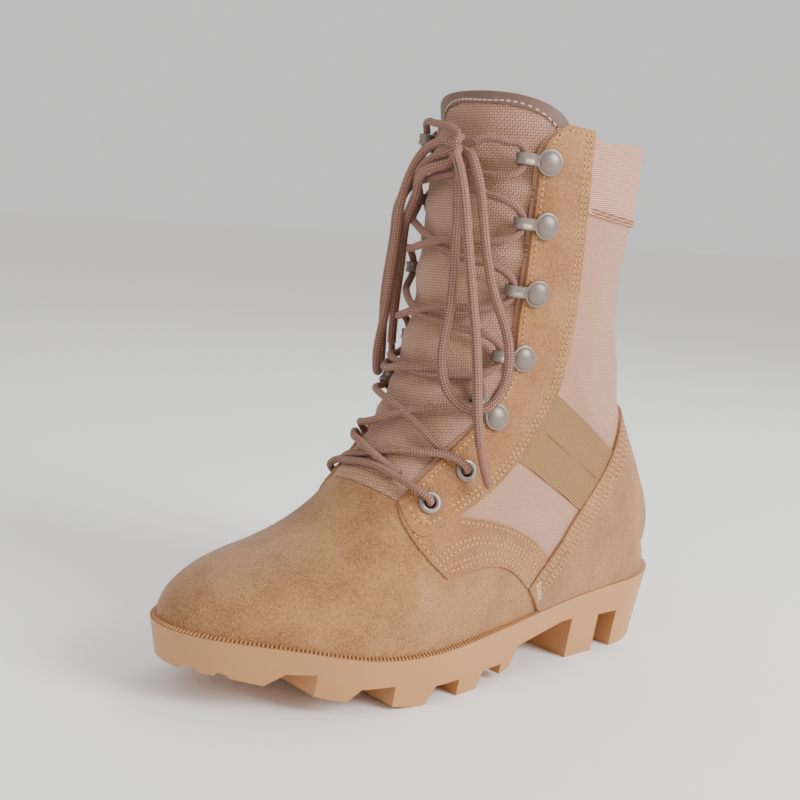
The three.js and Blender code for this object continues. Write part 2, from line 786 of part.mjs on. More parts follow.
// Routes of the cords of the bow, from the knot and back to it or to an end.
const BOW = {
  lace_loop_a: [
    [8.6, -14.5, 263.2], [2.5, -14.8, 263], [-4.5, -14.8, 261.3], [-12, -15, 256],
    [-17, -15.8, 247.5], [-21, -17.2, 233.5], [-24, -15.8, 219.5], [-26.4, -15, 203.5],
    [-28, -15.3, 187], [-29.2, -16.6, 171], [-30.3, -18.2, 155.2],
    [-31.6, -16.8, 149.1], [-35.2, -13, 145.4], [-39.5, -8.3, 145.4],
    [-43.1, -4.5, 149.1], [-44.4, -3.1, 155.2], [-42.9, -4.6, 165], [-40, -7.3, 175],
    [-36.6, -10.2, 187], [-32.6, -11.8, 203.5], [-30.3, -12, 219.5],
    [-26.8, -13.2, 233], [-20, -12.3, 243], [-12.5, -14, 248.8], [-6, -15.3, 253],
    [0, -15.8, 255.5], [8.6, -14.5, 257.6],
  ],
  lace_loop_b: [
    [17.5, -14.5, 252.9], [19.5, -17.5, 246.5], [22, -19.5, 237], [23.7, -20.3, 226.5],
    [25, -21.5, 215.5], [26.5, -22.5, 203], [27.5, -23.5, 190], [28, -25.5, 177],
    [28.5, -28, 164.5], [31, -29.5, 154], [34.5, -29, 146], [38, -26, 140.5],
    [42.2, -21.5, 137.3], [46.5, -16.5, 137.7], [49.5, -11.5, 142.2], [50.3, -7, 150.5],
    [49.8, -5, 160.3], [47.8, -4.5, 170], [44.6, -6, 180], [42, -9.5, 190.5],
    [39.8, -13, 204], [37.2, -14.5, 218], [34.5, -15, 232.3], [32, -15.5, 243],
    [28.5, -15.8, 251.5], [22.8, -13.3, 256.8],
  ],
  lace_end_a: [
    [11.8, -15.5, 253.2], [8, -18.5, 251.5], [2, -19.8, 250], [-6, -18.5, 246.8],
    [-12, -14.7, 241.5], [-16.3, -12, 236.5], [-19.6, -12.4, 229], [-25, -10, 220],
    [-30.5, -6, 203.5], [-33.3, -5, 187], [-36, -3.5, 171], [-38.5, -1.5, 160],
  ],
  lace_end_b: [
    [19.2, -20.3, 257], [23.8, -22.3, 252], [28, -23.5, 245], [32, -24, 233],
    [34.5, -23.5, 219.5], [36.5, -22, 203.5], [38.3, -20.3, 187.5], [41.5, -20.2, 173],
    [45.5, -21.7, 159], [48.5, -22.8, 145], [49.4, -22, 132.5], [49.5, -19.5, 121],
  ],
};
const AGLETS = {
  aglet_a: [[-38.9, -0.8, 157.5], [-41.8, 4.5, 137]],
  aglet_b: [[49.6, -18.9, 118.5], [52.5, -14.5, 101]],
};
const KNOT = { centre: [15.5, -13.5, 260.5], radii: [6, 6, 6.8] };

function knotSolid() {
  const ball = new THREE.SphereGeometry(1, 12, 8).scale(...KNOT.radii);
  return solidOf(ball.translate(...KNOT.centre));
}

const vectors = (points) => points.map((point) => new THREE.Vector3(...point));

// ---- The boot --------------------------------------------------------------------------
const FINISH = {
  suede: { color: 0xb58e66, roughness: 0.95, metalness: 0 },
  nylon: { color: 0xb39583, roughness: 0.85, metalness: 0 },
  rubber: { color: 0xd2ac8a, roughness: 0.6, metalness: 0 },
  foam: { color: 0x5d5346, roughness: 0.9, metalness: 0 },
  metal: { color: 0x9a9088, roughness: 0.4, metalness: 0.8 },
  cord: { color: 0x9c7163, roughness: 0.8, metalness: 0 },
  plastic: { color: 0x8d5f54, roughness: 0.45, metalness: 0 },
};
const finishes = Object.fromEntries(
  Object.entries(FINISH).map(([name, look]) => [name, new THREE.MeshStandardMaterial(look)]),
);
const boot = new THREE.Group();

function addPiece(name, solid, finish) {
  const { vertProperties, triVerts } = solid.getMesh();
  const geometry = new THREE.BufferGeometry();
  geometry.setAttribute("position", new THREE.BufferAttribute(vertProperties, 3));
  geometry.setIndex(new THREE.BufferAttribute(triVerts, 1));
  geometry.computeVertexNormals();
  const mesh = new THREE.Mesh(geometry, finishes[finish]);
  mesh.name = name;
  boot.add(mesh);
}

// A cutter with its own side-view outline on each side of the boot.
function bothSides(outline) {
  const lateral = sideBar(outline("lateral", SIDES.lateral), 0, WIDE);
  return lateral.add(sideBar(outline("medial", SIDES.medial), -WIDE, 0));
}

const holes = Object.values(frames).flatMap(({ eyelets }) => eyelets.map(eyeletHole));
const pierced = (solid) => holes.reduce((left, hole) => left.subtract(hole), solid);

addPiece("outsole", outsoleSolid(), "rubber");
addPiece("insole", insoleSolid(), "foam");
const upper = form(0).subtract(form(-WALL));
const upperCutter = bothSides((name, side) => raised(upperOutline(), side));
addPiece("upper", pierced(upper.intersect(upperCutter)), "nylon");
const tongue = form(-WALL - GAP, 1.5).subtract(form(-WALL - GAP - TONGUE, 1.5));
addPiece("tongue", tongue.intersect(bothSides(tongueOutline)), "nylon");

const overlay = form(GAP + OVERLAY).subtract(form(GAP));
addPiece("heel_counter", overlay.intersect(sideBar(counterOutline())), "suede");
for (const [name, side] of Object.entries(SIDES)) {
  const [from, to] = side > 0 ? [1, WIDE] : [-WIDE, -1];
  const half = sideBar(raised(eyestayOutline(), side), from, to);
  addPiece(`eyestay_${name}`, pierced(overlay.intersect(half)), "suede");
  frames[name].eyelets.forEach((frame, i) => {
    addPiece(`eyelet_${name}_${i + 1}`, eyeletSolid(frame), "metal");
  });
  frames[name].hooks.forEach((frame, i) => {
    addPiece(`hook_${name}_${i + 1}`, hookSolid(frame), "metal");
  });
}

addPiece("lace_low_cross", lowLacing(), "cord");
const [first, second] = STRANDS.map(({ start, end, side }) => strand(start, end, side));
addPiece("lace_crossings", first.add(second), "cord");
addPiece("lace_knot", knotSolid(), "cord");
for (const [name, route] of Object.entries(BOW)) {
  addPiece(name, tube(vectors(route), LOOSE_LACE), "cord");
}
for (const [name, ends] of Object.entries(AGLETS)) {
  addPiece(name, tube(vectors(ends), 3.4), "plastic");
}

export default boot;
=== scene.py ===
"""The look of a left combat boot: suede vamp, eyestays and counter, nylon quarters and tongue,
tied braided laces on hooks and eyelets, and a lugged rubber sole.

Lengths are in millimetres until a mesh is made. The toe points to -Y, the outer side is +X.
"""
import math

import bmesh
import bpy
import numpy as np
from mathutils import Matrix, Vector


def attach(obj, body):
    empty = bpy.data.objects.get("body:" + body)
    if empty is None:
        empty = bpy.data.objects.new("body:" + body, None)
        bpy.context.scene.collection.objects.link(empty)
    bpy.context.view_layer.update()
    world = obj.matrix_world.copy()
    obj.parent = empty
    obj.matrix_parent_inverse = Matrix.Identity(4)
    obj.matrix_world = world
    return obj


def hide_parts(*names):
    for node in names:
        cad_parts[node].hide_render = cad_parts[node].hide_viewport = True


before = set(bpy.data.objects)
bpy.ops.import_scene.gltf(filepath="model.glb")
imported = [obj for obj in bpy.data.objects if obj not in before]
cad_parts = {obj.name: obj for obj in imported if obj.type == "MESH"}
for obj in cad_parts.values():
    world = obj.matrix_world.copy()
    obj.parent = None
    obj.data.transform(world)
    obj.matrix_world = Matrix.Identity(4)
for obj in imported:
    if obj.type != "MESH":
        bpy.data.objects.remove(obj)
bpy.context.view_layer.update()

MM = 0.001

# ---- Driving dimensions, as in part.mjs
LENGTH = 304
BALL_WIDTH = 107
HEEL_HEIGHT = 38
INSTEP_HEIGHT = 138
SHAFT_HEIGHT = 277
WALL = 2
TONGUE = 4.5
WELT = 3
LASTING = 3
GAP = 0.3
TOE_ROUND = (78, 2.15)  # how long the rounding of the outline is, and its power
HEEL_ROUND = (46, 2.1)
TOP_ROUND = (60, 2.5)
LACE = 3.8
LOOSE_LACE = 4.8
MEDIAL_RISE = 10.5
TOE = -LENGTH / 2
HEEL = LENGTH / 2
HALF_BALL = BALL_WIDTH / 2
OUTSIDE = 22
WIDE = 90
SIDES = {"lateral": 1, "medial": -1}

# at, centre, half, top
SOLE = [
    (0, -25, 84, 92),
    (14, -14, 94, 83),
    (25, -3, 100, 69),
    (35, 5, 99, 66),
    (47, 10, 89, 72),
    (58, 12, 79, 80),
    (70, 10, 74, 90),
    (85, 7, 74, 100),
    (100, 7, 71, 107),
]
HEEL_ROW = 7
COLUMNS = "back backUp front frontUp outer inner centre widest nose side".split()
SECTIONS = [
    (1.3, 27, 1.3, 42, 78.5, 78.5, -25, 0.32, 2.3, 2.0),
    (10.5, 24, 10.5, 46, 88, 88, -16, 0.32, 2.2, 2.0),
    (22, 20, 19.7, 51, 93.5, 93.5, -6, 0.32, 2.2, 2.0),
    (35.2, 18, 28.3, 64.5, 90, 87, 3, 0.3, 2.1, 2.0),
    (50, 20, 34.2, 82, 84, 83, 7, 0.3, 2.1, 2.0),
    (66.4, 24, 38.8, 100, 80, 84, 7, 0.34, 2.2, 2.1),
    (84.2, 28, 41.4, 117, 78.5, 83, 7, 0.4, 2.3, 2.1),
    (97.9, 30, 43.1, 133, 76.5, 82, 7, 0.42, 2.3, 2.2),
    (98.4, 48, 43.8, 140, 76.5, 82, 7, 0.42, 2.3, 2.2),
    (93.6, 65, 44.4, 147.5, 76.5, 82, 7, 0.42, 2.3, 2.2),
    (86.5, 94, 45.4, 160.5, 78.5, 82, 7, 0.45, 2.3, 2.2),
    (84.9, 134, 46.7, 176.5, 80, 82, 7, 0.48, 2.3, 2.2),
    (86.5, 165, 47.7, 189, 82, 82, 7, 0.5, 2.3, 2.2),
    (87.8, 193, 48.4, 200, 82, 82, 7, 0.5, 2.3, 2.2),
    (89, 213, 49.3, 224, 82, 82, 7, 0.5, 2.3, 2.2),
]
LAST_ROW = len(SECTIONS) - 1


# ---- Numbers and curves
def spline(xs, rows):
    """A natural cubic spline through rows of numbers, as a function of an array of x."""
    xs = np.array(xs, float)
    rows = np.array(rows, float)
    count = len(xs)
    steps = np.diff(xs)
    slopes = np.diff(rows, axis=0) / steps[:, None]
    system = np.eye(count)
    right = np.zeros_like(rows)
    for i in range(1, count - 1):
        system[i, i - 1 : i + 2] = steps[i - 1], 2 * (steps[i - 1] + steps[i]), steps[i]
        right[i] = 6 * (slopes[i] - slopes[i - 1])
    bends = np.linalg.solve(system, right)

    def at(x):
        x = np.clip(np.asarray(x, float), xs[0], xs[-1])
        i = np.clip(np.searchsorted(xs, x, side="right") - 1, 0, count - 2)
        b = ((x - xs[i]) / steps[i])[..., None]
        a = 1 - b
        curve = (a**3 - a) * bends[i] + (b**3 - b) * bends[i + 1]
        return a * rows[i] + b * rows[i + 1] + curve * (steps[i] ** 2)[..., None] / 6

    return at


def travel(points):
    """How far along a polyline each of its points is."""
    steps = np.linalg.norm(np.diff(points, axis=0), axis=1)
    return np.concatenate([[0], np.cumsum(steps)])


def smooth_line(points, spacing):
    """A smooth line through points of any dimension, with a point about every spacing."""
    along = travel(points)
    count = max(2, int(round(along[-1] / spacing)))
    return spline(along, points)(np.linspace(0, along[-1], count + 1))


def resample(points, spacing):
    """The same polyline with evenly spaced points."""
    points = np.array(points, float)
    along = travel(points)
    count = max(1, int(round(along[-1] / spacing)))
    at = np.linspace(0, along[-1], count + 1)
    return np.stack([np.interp(at, along, column) for column in points.T], axis=1)


def beside(points, distance):
    """A flat polyline moved sideways, to the right of its direction."""
    points = np.array(points, float)
    ahead = np.gradient(points, axis=0)
    ahead /= np.linalg.norm(ahead, axis=1, keepdims=True)
    return points + distance * np.stack([ahead[:, 1], -ahead[:, 0]], axis=1)


def round_end(distance, length, power):
    """The share of the full size that is left near a rounded end."""
    share = np.clip(distance / length, 0, 1)
    return (1 - (1 - share) ** power) ** (1 / power)


# ---- The sole's outline and the upper's form, as in part.mjs
def along_foot(percent):
    return TOE + LENGTH * percent / 100


sole_row = spline([along_foot(row[0]) for row in SOLE], [row[1:] for row in SOLE])
section_row = spline(range(len(SECTIONS)), SECTIONS)


def sole_at(y, inset=0):
    """The sole's centre, half width and top at y, for its outline moved in by inset."""
    centre, half, top = np.moveaxis(sole_row(y), -1, 0)
    rounding = round_end(y - TOE - inset, *TOE_ROUND) * round_end(HEEL - inset - y, *HEEL_ROUND)
    half = (half * HALF_BALL / 100 - inset) * rounding
    return centre * HALF_BALL / 100, half, top * HEEL_HEIGHT / 100


def height(level):
    """Up to 100 a level is a percentage of the instep height; at 200 it is the shaft's top."""
    high = INSTEP_HEIGHT + (SHAFT_HEIGHT - INSTEP_HEIGHT) * (level - 100) / 100
    return np.where(level < 100, INSTEP_HEIGHT * level / 100, high)


def section_at(s):
    """Everything about the section at s, in millimetres, as a dict of arrays."""
    s = np.asarray(s, float)
    row = dict(zip(COLUMNS, np.moveaxis(section_row(s), -1, 0)))
    on_sole = s <= HEEL_ROW
    back_y = along_foot(row["back"])
    back_y = np.where(on_sole, np.minimum(back_y, HEEL - WELT), back_y)
    sole_centre, sole_half, sole_top = sole_at(back_y, WELT)
    edge = sole_top - LASTING
    back_z = np.where(on_sole, edge, np.maximum(edge, height(row["backUp"])))
    from_tip = back_y - TOE - WELT
    narrow = round_end(from_tip, *TOE_ROUND)
    rise = round_end(from_tip, *TOP_ROUND)
    centre = row["centre"] * HALF_BALL / 100
    back = np.stack([back_y, back_z], -1)
    front = np.stack([along_foot(row["front"]), height(row["frontUp"])], -1)
    widths = {1: row["outer"], -1: row["inner"]}
    return {
        "back": back,
        "front": back + (front - back) * rise[..., None],
        "full": {side: width * HALF_BALL * narrow / 100 for side, width in widths.items()},
        "footing": np.where(on_sole, sole_half, 0),
        "sole_centre": np.where(on_sole, sole_centre, centre),
        "centre": centre,
        **{name: row[name] for name in ("widest", "nose", "side")},
    }


def form_points(s, f, side):
    """Points at share f of the way up sections s, on side 1 (outer) or -1 (inner)."""
    section = section_at(s)
    full = section["full"][side]
    widest = section["widest"]
    footing = section["footing"]
    low = 1 - (np.clip(widest - f, 0, None) / widest) ** 2
    low = np.sqrt(np.maximum(0, footing**2 + (full**2 - footing**2) * low))
    high = 1 - (np.clip(f - widest, 0, None) / (1 - widest)) ** section["nose"]
    high = full * np.maximum(0, high) ** (1 / section["side"])
    width = np.where(f < widest, low, high)
    turn = np.clip(1.5 * f, 0, 1)
    centre = section["sole_centre"] + (section["centre"] - section["sole_centre"]) * turn
    line = section["back"] + (section["front"] - section["back"]) * f[..., None]
    return np.concatenate([(centre + side * width)[..., None], line], -1)


def unit(vectors):
    size = np.linalg.norm(vectors, axis=-1, keepdims=True)
    return vectors / np.maximum(size, 1e-9)


def form_normals(s, f, side):
    """Unit vectors out of the form at the same points."""
    step = 0.004
    f = np.clip(f, step, 1 - 2 * step)
    along_s = form_points(s + step, f, side) - form_points(s - step, f, side)
    along_f = form_points(s, f + step, side) - form_points(s, f - step, side)
    return unit(-side * np.cross(along_f, along_s))


def halve(passes, low, high):
    """The places between low and high where passes turns from true to false."""
    for _ in range(36):
        middle = (low + high) / 2
        ok = passes(middle)
        low = np.where(ok, middle, low)
        high = np.where(ok, high, middle)
    return (low + high) / 2


def side_places(line, side, out=0):
    """Points out from one side of the form, and normals, for [y, z] points in side view."""
    line = np.array(line, float)
    y, z = line[:, 0], line[:, 1]

    def passes(s):
        section = section_at(s)
        run = section["front"] - section["back"]
        place = line - section["back"]
        return run[:, 0] * place[:, 1] - run[:, 1] * place[:, 0] <= 0

    s = halve(passes, np.full(len(y), 0.5), np.full(len(y), float(LAST_ROW)))
    section = section_at(s)
    run = np.linalg.norm(section["front"] - section["back"], axis=1)
    f = np.linalg.norm(line - section["back"], axis=1) / run
    normals = form_normals(s, f, side)
    return form_points(s, f, side) + out * normals, normals


def front_places(line, out=0):
    """Points out from the front of the form, for [x, z] points seen from ahead."""
    line = np.array(line, float)
    out = np.broadcast_to(out, len(line))
    found = []
    for (x, z), lift in zip(line, out):
        side = 1 if x > section_at(LAST_ROW)["centre"] else -1

        def share(s):
            section = section_at(s)
            across = np.clip(abs(x - section["centre"]) / section["full"][side], 0, 1)
            high = (1 - across ** section["side"]) ** (1 / section["nose"])
            return section["widest"] + (1 - section["widest"]) * high

        def passes(s):
            section = section_at(s)
            run = section["front"][..., 1] - section["back"][..., 1]
            return section["back"][..., 1] + run * share(s) < z

        s = halve(passes, np.array(2.0), np.array(float(LAST_ROW)))
        f = share(s)
        found.append(form_points(s, f, side) + lift * form_normals(s, f, side))
    return np.array(found)


# ---- Side-view lines, as in part.mjs
EYESTAY_FRONT = [
    (-51.5, 93), (-27, 114), (-11, 127.5), (3, 142.5), (11, 156), (12.5, 172), (12.5, 210),
    (14, 246), (17.5, 265), (27, 274),
]
EYESTAY_REAR = [
    (-26, 86.5), (-14, 92), (0.5, 100.5), (15, 113), (30.5, 131), (38.5, 144), (41.5, 162),
    (43, 198), (43, 230), (42.5, 258), (43, 272),
]
EYESTAY_FOOT = [(-51.5, 93), (-51.2, 85), (-48, 79.5), (-43, 79), (-35, 82.5), (-26, 86.5)]
SADDLE_TOP = [(-26, 86.5), (-8.5, 83.5), (5, 80), (15.5, 75.5), (26, 69.5), (36.5, 60.5)]
SADDLE_FRONT = [(-34, 58.5), (-42, 66), (-50, 77), (-52.5, 86), (-51.5, 93)]
SADDLE_ARCH = [
    (22.5, 46.3), (13, 54.5), (5, 59), (-4, 61), (-16, 61.3), (-28, 59.8), (-34, 58.5),
]
COUNTER_EDGE = [
    (23.5, 46), (32, 54.3), (40, 61), (54, 76), (67, 89.5), (76, 100), (83, 112), (88.5, 124),
    (97, 130.5), (125, 133),
]
COUNTER_FOOT = 34.5
COLLAR = [(43, 272), (47, 268.5), (62, 267.5), (85, 268), (120, 266.5)]
TONGUE_REAR = [
    (-46, 74), (-25, 92), (-5, 107), (12, 124), (24, 143), (28.5, 162), (29, 210),
]
TONGUE_TOP = {
    "lateral": [(31, 246), (32.5, 262), (28, 275), (14, 284), (-4, 288), (-20, 288.5)],
    "medial": [(25, 240), (17, 256), (11, 270), (6, 280), (-4, 288), (-20, 288.5)],
}
BAND_EDGE = [(36, 234), (45, 232.5), (61, 230), (93, 227.7), (130, 226)]
# Where the vamp ends under the saddle and the nylon begins.
UNDER_SADDLE = [(42, 46), (30, 52), (16, 64), (-4, 71.5), (-26, 73), (-42, 81), (-51.5, 93)]
STRAP = [(33, 146.2), (87, 108.4), (66, 78.6), (9, 113.8)]

eyestay_front = smooth_line(EYESTAY_FRONT, 1.5)
eyestay_rear = smooth_line(EYESTAY_REAR, 1.5)
eyestay_foot = smooth_line(EYESTAY_FOOT, 1)
saddle_top = smooth_line(SADDLE_TOP, 1.5)
saddle_front = smooth_line(SADDLE_FRONT, 1.5)
saddle_arch = smooth_line(SADDLE_ARCH, 1.5)
counter_edge = smooth_line(COUNTER_EDGE, 1.5)
collar = smooth_line(COLLAR, 2)
band_edge = smooth_line(BAND_EDGE, 2)
under_saddle = smooth_line(UNDER_SADDLE, 2)


def raised(line, side):
    """A side-view line as it stands on a side: the medial one is higher in front."""
    line = np.array(line, float)
    if side < 0:
        up = np.clip((line[:, 1] - 125) / 100, 0, 1) * np.clip((100 - line[:, 0]) / 55, 0, 1)
        line[:, 1] += MEDIAL_RISE * up
    return line


def sole_line(start, end, lift):
    """The sole's top edge in side view, raised by lift."""
    y = np.linspace(start, end, 61)
    return np.stack([y, sole_at(np.clip(y, TOE, HEEL))[2] + lift], 1)


# ---- Materials
def colour(code):
    """A linear colour from a web colour."""
    parts = [int(code[i : i + 2], 16) / 255 for i in (0, 2, 4)]
    return tuple(p / 12.92 if p < 0.04045 else ((p + 0.055) / 1.055) ** 2.4 for p in parts) + (1,)


class Look:
    """A material being built: short ways to add and join shader nodes."""

    def __init__(self, name, base, roughness, metallic=0.0):
        self.material = bpy.data.materials.new(name)
        self.material.use_nodes = True
        self.tree = self.material.node_tree
        self.shader = self.tree.nodes["Principled BSDF"]
        self.shader.inputs["Base Color"].default_value = colour(base)
        self.shader.inputs["Roughness"].default_value = roughness
        self.shader.inputs["Metallic"].default_value = metallic

    def add(self, kind, **settings):
        node = self.tree.nodes.new("ShaderNode" + kind)
        for name, value in settings.items():
            setattr(node, name, value)
        return node

    def put(self, value, socket):
        if isinstance(value, bpy.types.NodeSocket):
            self.tree.links.new(value, socket)
        else:
            socket.default_value = value

    def math(self, operation, first, second=0.0):
        node = self.add("Math", operation=operation)
        self.put(first, node.inputs[0])
        self.put(second, node.inputs[1])
        return node.outputs[0]

    def times(self, first, second):
        return self.math("MULTIPLY", first, second)

    def plus(self, first, second):
        return self.math("ADD", first, second)

    def surface_place(self):
        """u round the boot and v up it, in metres."""
        split = self.add("SeparateXYZ")
        self.tree.links.new(self.add("UVMap", uv_map="form").outputs[0], split.inputs[0])
        return split.outputs[0], split.outputs[1]

    def noise(self, scale, detail=3.0, roughness=0.6):
        node = self.add("TexNoise")
        self.put(self.add("TexCoord").outputs["Object"], node.inputs["Vector"])
        self.put(scale, node.inputs["Scale"])
        self.put(detail, node.inputs["Detail"])
        self.put(roughness, node.inputs["Roughness"])
        return node.outputs["Fac"]

    def wave(self, value, pitch):
        """A sine from -1 to 1 that repeats every pitch of value, both in metres."""
        return self.math("SINE", self.times(value, math.tau / pitch))

    def stretch(self, value, low, high):
        """Value brought from low..high to 0..1 and held there."""
        node = self.add("MapRange")
        for socket, number in zip(node.inputs, (value, low, high)):
            self.put(number, socket)
        return node.outputs[0]

    def blend(self, share, first, second):
        node = self.add("Mix", data_type="RGBA")
        self.put(share, node.inputs["Factor"])
        colours = [socket for socket in node.inputs if socket.type == "RGBA"]
        for value, socket in zip((first, second), colours):
            self.put(colour(value) if isinstance(value, str) else value, socket)
        return [socket for socket in node.outputs if socket.type == "RGBA"][0]

    def bump(self, relief, distance, strength):
        node = self.add("Bump")
        self.put(strength, node.inputs["Strength"])
        self.put(distance * MM, node.inputs["Distance"])
        self.put(relief, node.inputs["Height"])
        self.put(node.outputs[0], self.shader.inputs["Normal"])

    def paint(self, value):
        self.put(value, self.shader.inputs["Base Color"])


def suede(name, base, dark, light):
    look = Look(name, base, 0.95)
    blotch = look.stretch(look.noise(38, 3), 0.3, 0.7)
    nap = look.stretch(look.noise(1050, 4, 0.8), 0.38, 0.62)
    body = look.blend(blotch, dark, light)
    speck = look.blend(nap, dark, light)
    look.paint(look.blend(0.6, body, speck))
    look.shader.inputs["Sheen Weight"].default_value = 0.2
    look.shader.inputs["Sheen Roughness"].default_value = 0.5
    look.bump(look.noise(1250, 4, 0.8), 0.4, 0.9)
    return look.material


def weave(name, base, dark, light, pitch):
    """Canvas: threads over and under each other, from u and v on the surface; painted shade between
    threads.
    """
    look = Look(name, base, 0.7)
    u, v = look.surface_place()
    warp, weft = look.wave(u, 2 * pitch), look.wave(v, 2 * pitch)
    over = look.math("GREATER_THAN", look.times(warp, weft), 0.0)
    under = look.math("SUBTRACT", 1.0, over)
    raised_warp = look.times(over, look.math("ABSOLUTE", warp))
    raised_weft = look.times(under, look.math("ABSOLUTE", weft))
    relief = look.plus(raised_warp, raised_weft)
    # Painted shade and light: the dark colour fills the hollows, the light colour the thread
    # crowns.
    shade = look.blend(look.stretch(relief, 0.0, 0.75), dark, light)
    blotch = look.stretch(look.noise(30, 3), 0.3, 0.7)
    look.paint(look.blend(look.times(blotch, 0.3), shade, base))
    look.shader.inputs["Sheen Weight"].default_value = 0.15
    look.bump(relief, 0.35, 0.8)
    return look.material


def ribbed(name, base, dark, light, pitch, tilt):
    """Webbing with ribs at an angle to u, and fine threads across them; painted shade in the
    grooves.
    """
    look = Look(name, base, 0.75)
    u, v = look.surface_place()
    across = look.plus(look.times(u, math.sin(tilt)), look.times(v, math.cos(tilt)))
    along = look.plus(look.times(u, math.cos(tilt)), look.times(v, -math.sin(tilt)))
    rib = look.math("ABSOLUTE", look.wave(across, 2 * pitch))
    relief = look.plus(rib, look.times(look.wave(along, 0.7 * MM), 0.12))
    # Painted shade and light: the dark colour fills the grooves between ribs, the light colour
    # their tops.
    look.paint(look.blend(look.stretch(relief, 0.1, 0.9), dark, light))
    look.bump(relief, 0.4, 0.8)
    return look.material


BRAID_PITCH = 2.6 * MM


def braid(name, base, dark, light, turns):
    """Round braid: strands that cross in both directions, with painted shade where they dip. u is
    along the cord, v round it.
    """
    look = Look(name, base, 0.75)
    u, v = look.surface_place()
    step = look.times(u, math.tau / BRAID_PITCH)
    round_it = look.times(v, math.tau * turns)
    right = look.math("SINE", look.plus(step, round_it))
    left = look.math("SINE", look.math("SUBTRACT", step, round_it))
    both = look.times(right, left)
    relief = look.math("ABSOLUTE", both)
    strands = look.blend(look.math("GREATER_THAN", both, 0.0), base, light)
    # Painted shade: darker where the strands dip between crossings.
    look.paint(look.blend(look.stretch(relief, 0.0, 0.4), dark, strands))
    look.shader.inputs["Sheen Weight"].default_value = 0.1
    look.bump(relief, 0.6, 0.9)
    return look.material


def plain(name, base, roughness, metallic=0.0, grain=0.0, scale=300):
    look = Look(name, base, roughness, metallic)
    if grain:
        look.bump(look.noise(scale, 4), grain, 0.5)
    return look.material


VAMP = suede("vamp suede", "98683b", "734621", "bf8e5b")
OVERLAY_SUEDE = suede("overlay suede", "986338", "734420", "bd8859")
# The dark and light colours of the two weaves are painted shade between threads and painted light
# on them.
NYLON = weave("quarter nylon", "ae7b5e", "704630", "cd9b7d", 1.15 * MM)
TONGUE_NYLON = weave("tongue nylon", "956750", "55301f", "bd9077", 1.3 * MM)
# The dark colours of the band and lining ribs are painted shade in their grooves.
BAND_NYLON = ribbed("collar band", "c88f74", "96604a", "e0ab90", 1.0 * MM, 0.0)
LINING = ribbed("lining", "6b5f48", "4c4332", "7f7257", 1.5 * MM, math.pi / 2)
# Raw suede edges are dark; this colour is darker still as painted shadow of the gap along each
# piece's edge.
CUT_EDGE_AND_SHADOW = plain("cut edge and painted shadow", "55351d", 0.9, grain=0.2, scale=700)
NYLON_EDGE = plain("nylon edge", "80573f", 0.9)
BINDING = plain("binding leather", "6d5044", 0.5, grain=0.3, scale=450)
THREAD = plain("thread", "c08f57", 0.6)
PALE_THREAD = plain("pale thread", "c4ad97", 0.6)
DARK_THREAD = plain("dark thread", "8a5f3d", 0.6)
# A near-black colour as painted shade in the holes the needle made.
HOLE_SHADE = plain("needle hole shade", "3f2817", 0.95)
PAINTED = plain("painted metal", "80736a", 0.4, 0.45)
EYELET_METAL = plain("eyelet metal", "877b72", 0.33, 0.5)
# The lace's dark colour is painted shade where its strands dip; its light colour is the lighter
# strands.
LACE_BRAID = braid("lace braid", "9a6450", "5c3526", "c4947e", 5)
AGLET = plain("aglet", "85574a", 0.35)
RUBBER = plain("sole rubber", "b88453", 0.5, grain=0.15, scale=120)
# Darker rubber as painted shade at the base of the knurled rand.
RAND_PAINTED_SHADE = plain("rand painted shade", "7d5738", 0.8)
INSOLE_KNIT = plain("insole knit", "3c342a", 0.95, grain=0.3, scale=900)


# ---- Meshes
def add_object(name, mesh, materials):
    for material in materials:
        mesh.materials.append(material)
    piece = bpy.data.objects.new(name, mesh)
    bpy.context.scene.collection.objects.link(piece)
    return piece


def add_mesh(name, points, faces, materials, uv=None, slots=None):
    """A mesh from points in millimetres. uv is per point; slots is a material index per face."""
    mesh = bpy.data.meshes.new(name)
    mesh.from_pydata((np.asarray(points, float) * MM).tolist(), [], [list(f) for f in faces])
    if uv is not None:
        layer = mesh.uv_layers.new(name="form")
        corners = np.empty(len(mesh.loops), int)
        mesh.loops.foreach_get("vertex_index", corners)
        layer.data.foreach_set("uv", (np.asarray(uv, float)[corners] * MM).ravel())
    if slots is not None:
        mesh.polygons.foreach_set("material_index", np.asarray(slots, int))
    mesh.validate()
    return add_object(name, mesh, materials)


def between_rings(index, ends=True):
    """Faces between rows of point numbers that are closed rings, and over the two ends."""
    right = np.roll(index, -1, axis=1)
    faces = np.stack([index[:-1], right[:-1], right[1:], index[1:]], axis=-1)
    faces = faces.reshape(-1, 4).tolist()
    return faces + [index[0][::-1].tolist(), index[-1].tolist()] if ends else faces


def numbered(rings, sides):
    """Point numbers for that many rings of that many points."""
    return np.arange(rings * sides).reshape(rings, sides)


def repeated(faces, size, count, start=0):
    """Faces for copies of a template that has size points."""
    starts = range(start, start + size * count, size)
    return [tuple(first + corner for corner in face) for first in starts for face in faces]


def clean(piece, distance=0.002):
    """Merges points that coincide and turns the faces outwards."""
    work = bmesh.new()
    work.from_mesh(piece.data)
    bmesh.ops.remove_doubles(work, verts=work.verts, dist=distance * MM)
    bmesh.ops.dissolve_degenerate(work, edges=work.edges, dist=distance * MM / 10)
    bmesh.ops.recalc_face_normals(work, faces=work.faces)
    work.to_mesh(piece.data)
    work.free()
    return piece


def soften(piece, degrees=35):
    """Smooth shading with the edges sharper than the angle left crisp."""
    work = bmesh.new()
    work.from_mesh(piece.data)
    for face in work.faces:
        face.smooth = True
    limit = math.radians(degrees)
    for edge in work.edges:
        edge.smooth = len(edge.link_faces) == 2 and edge.calc_face_angle(0) < limit
    work.to_mesh(piece.data)
    work.free()
    return piece


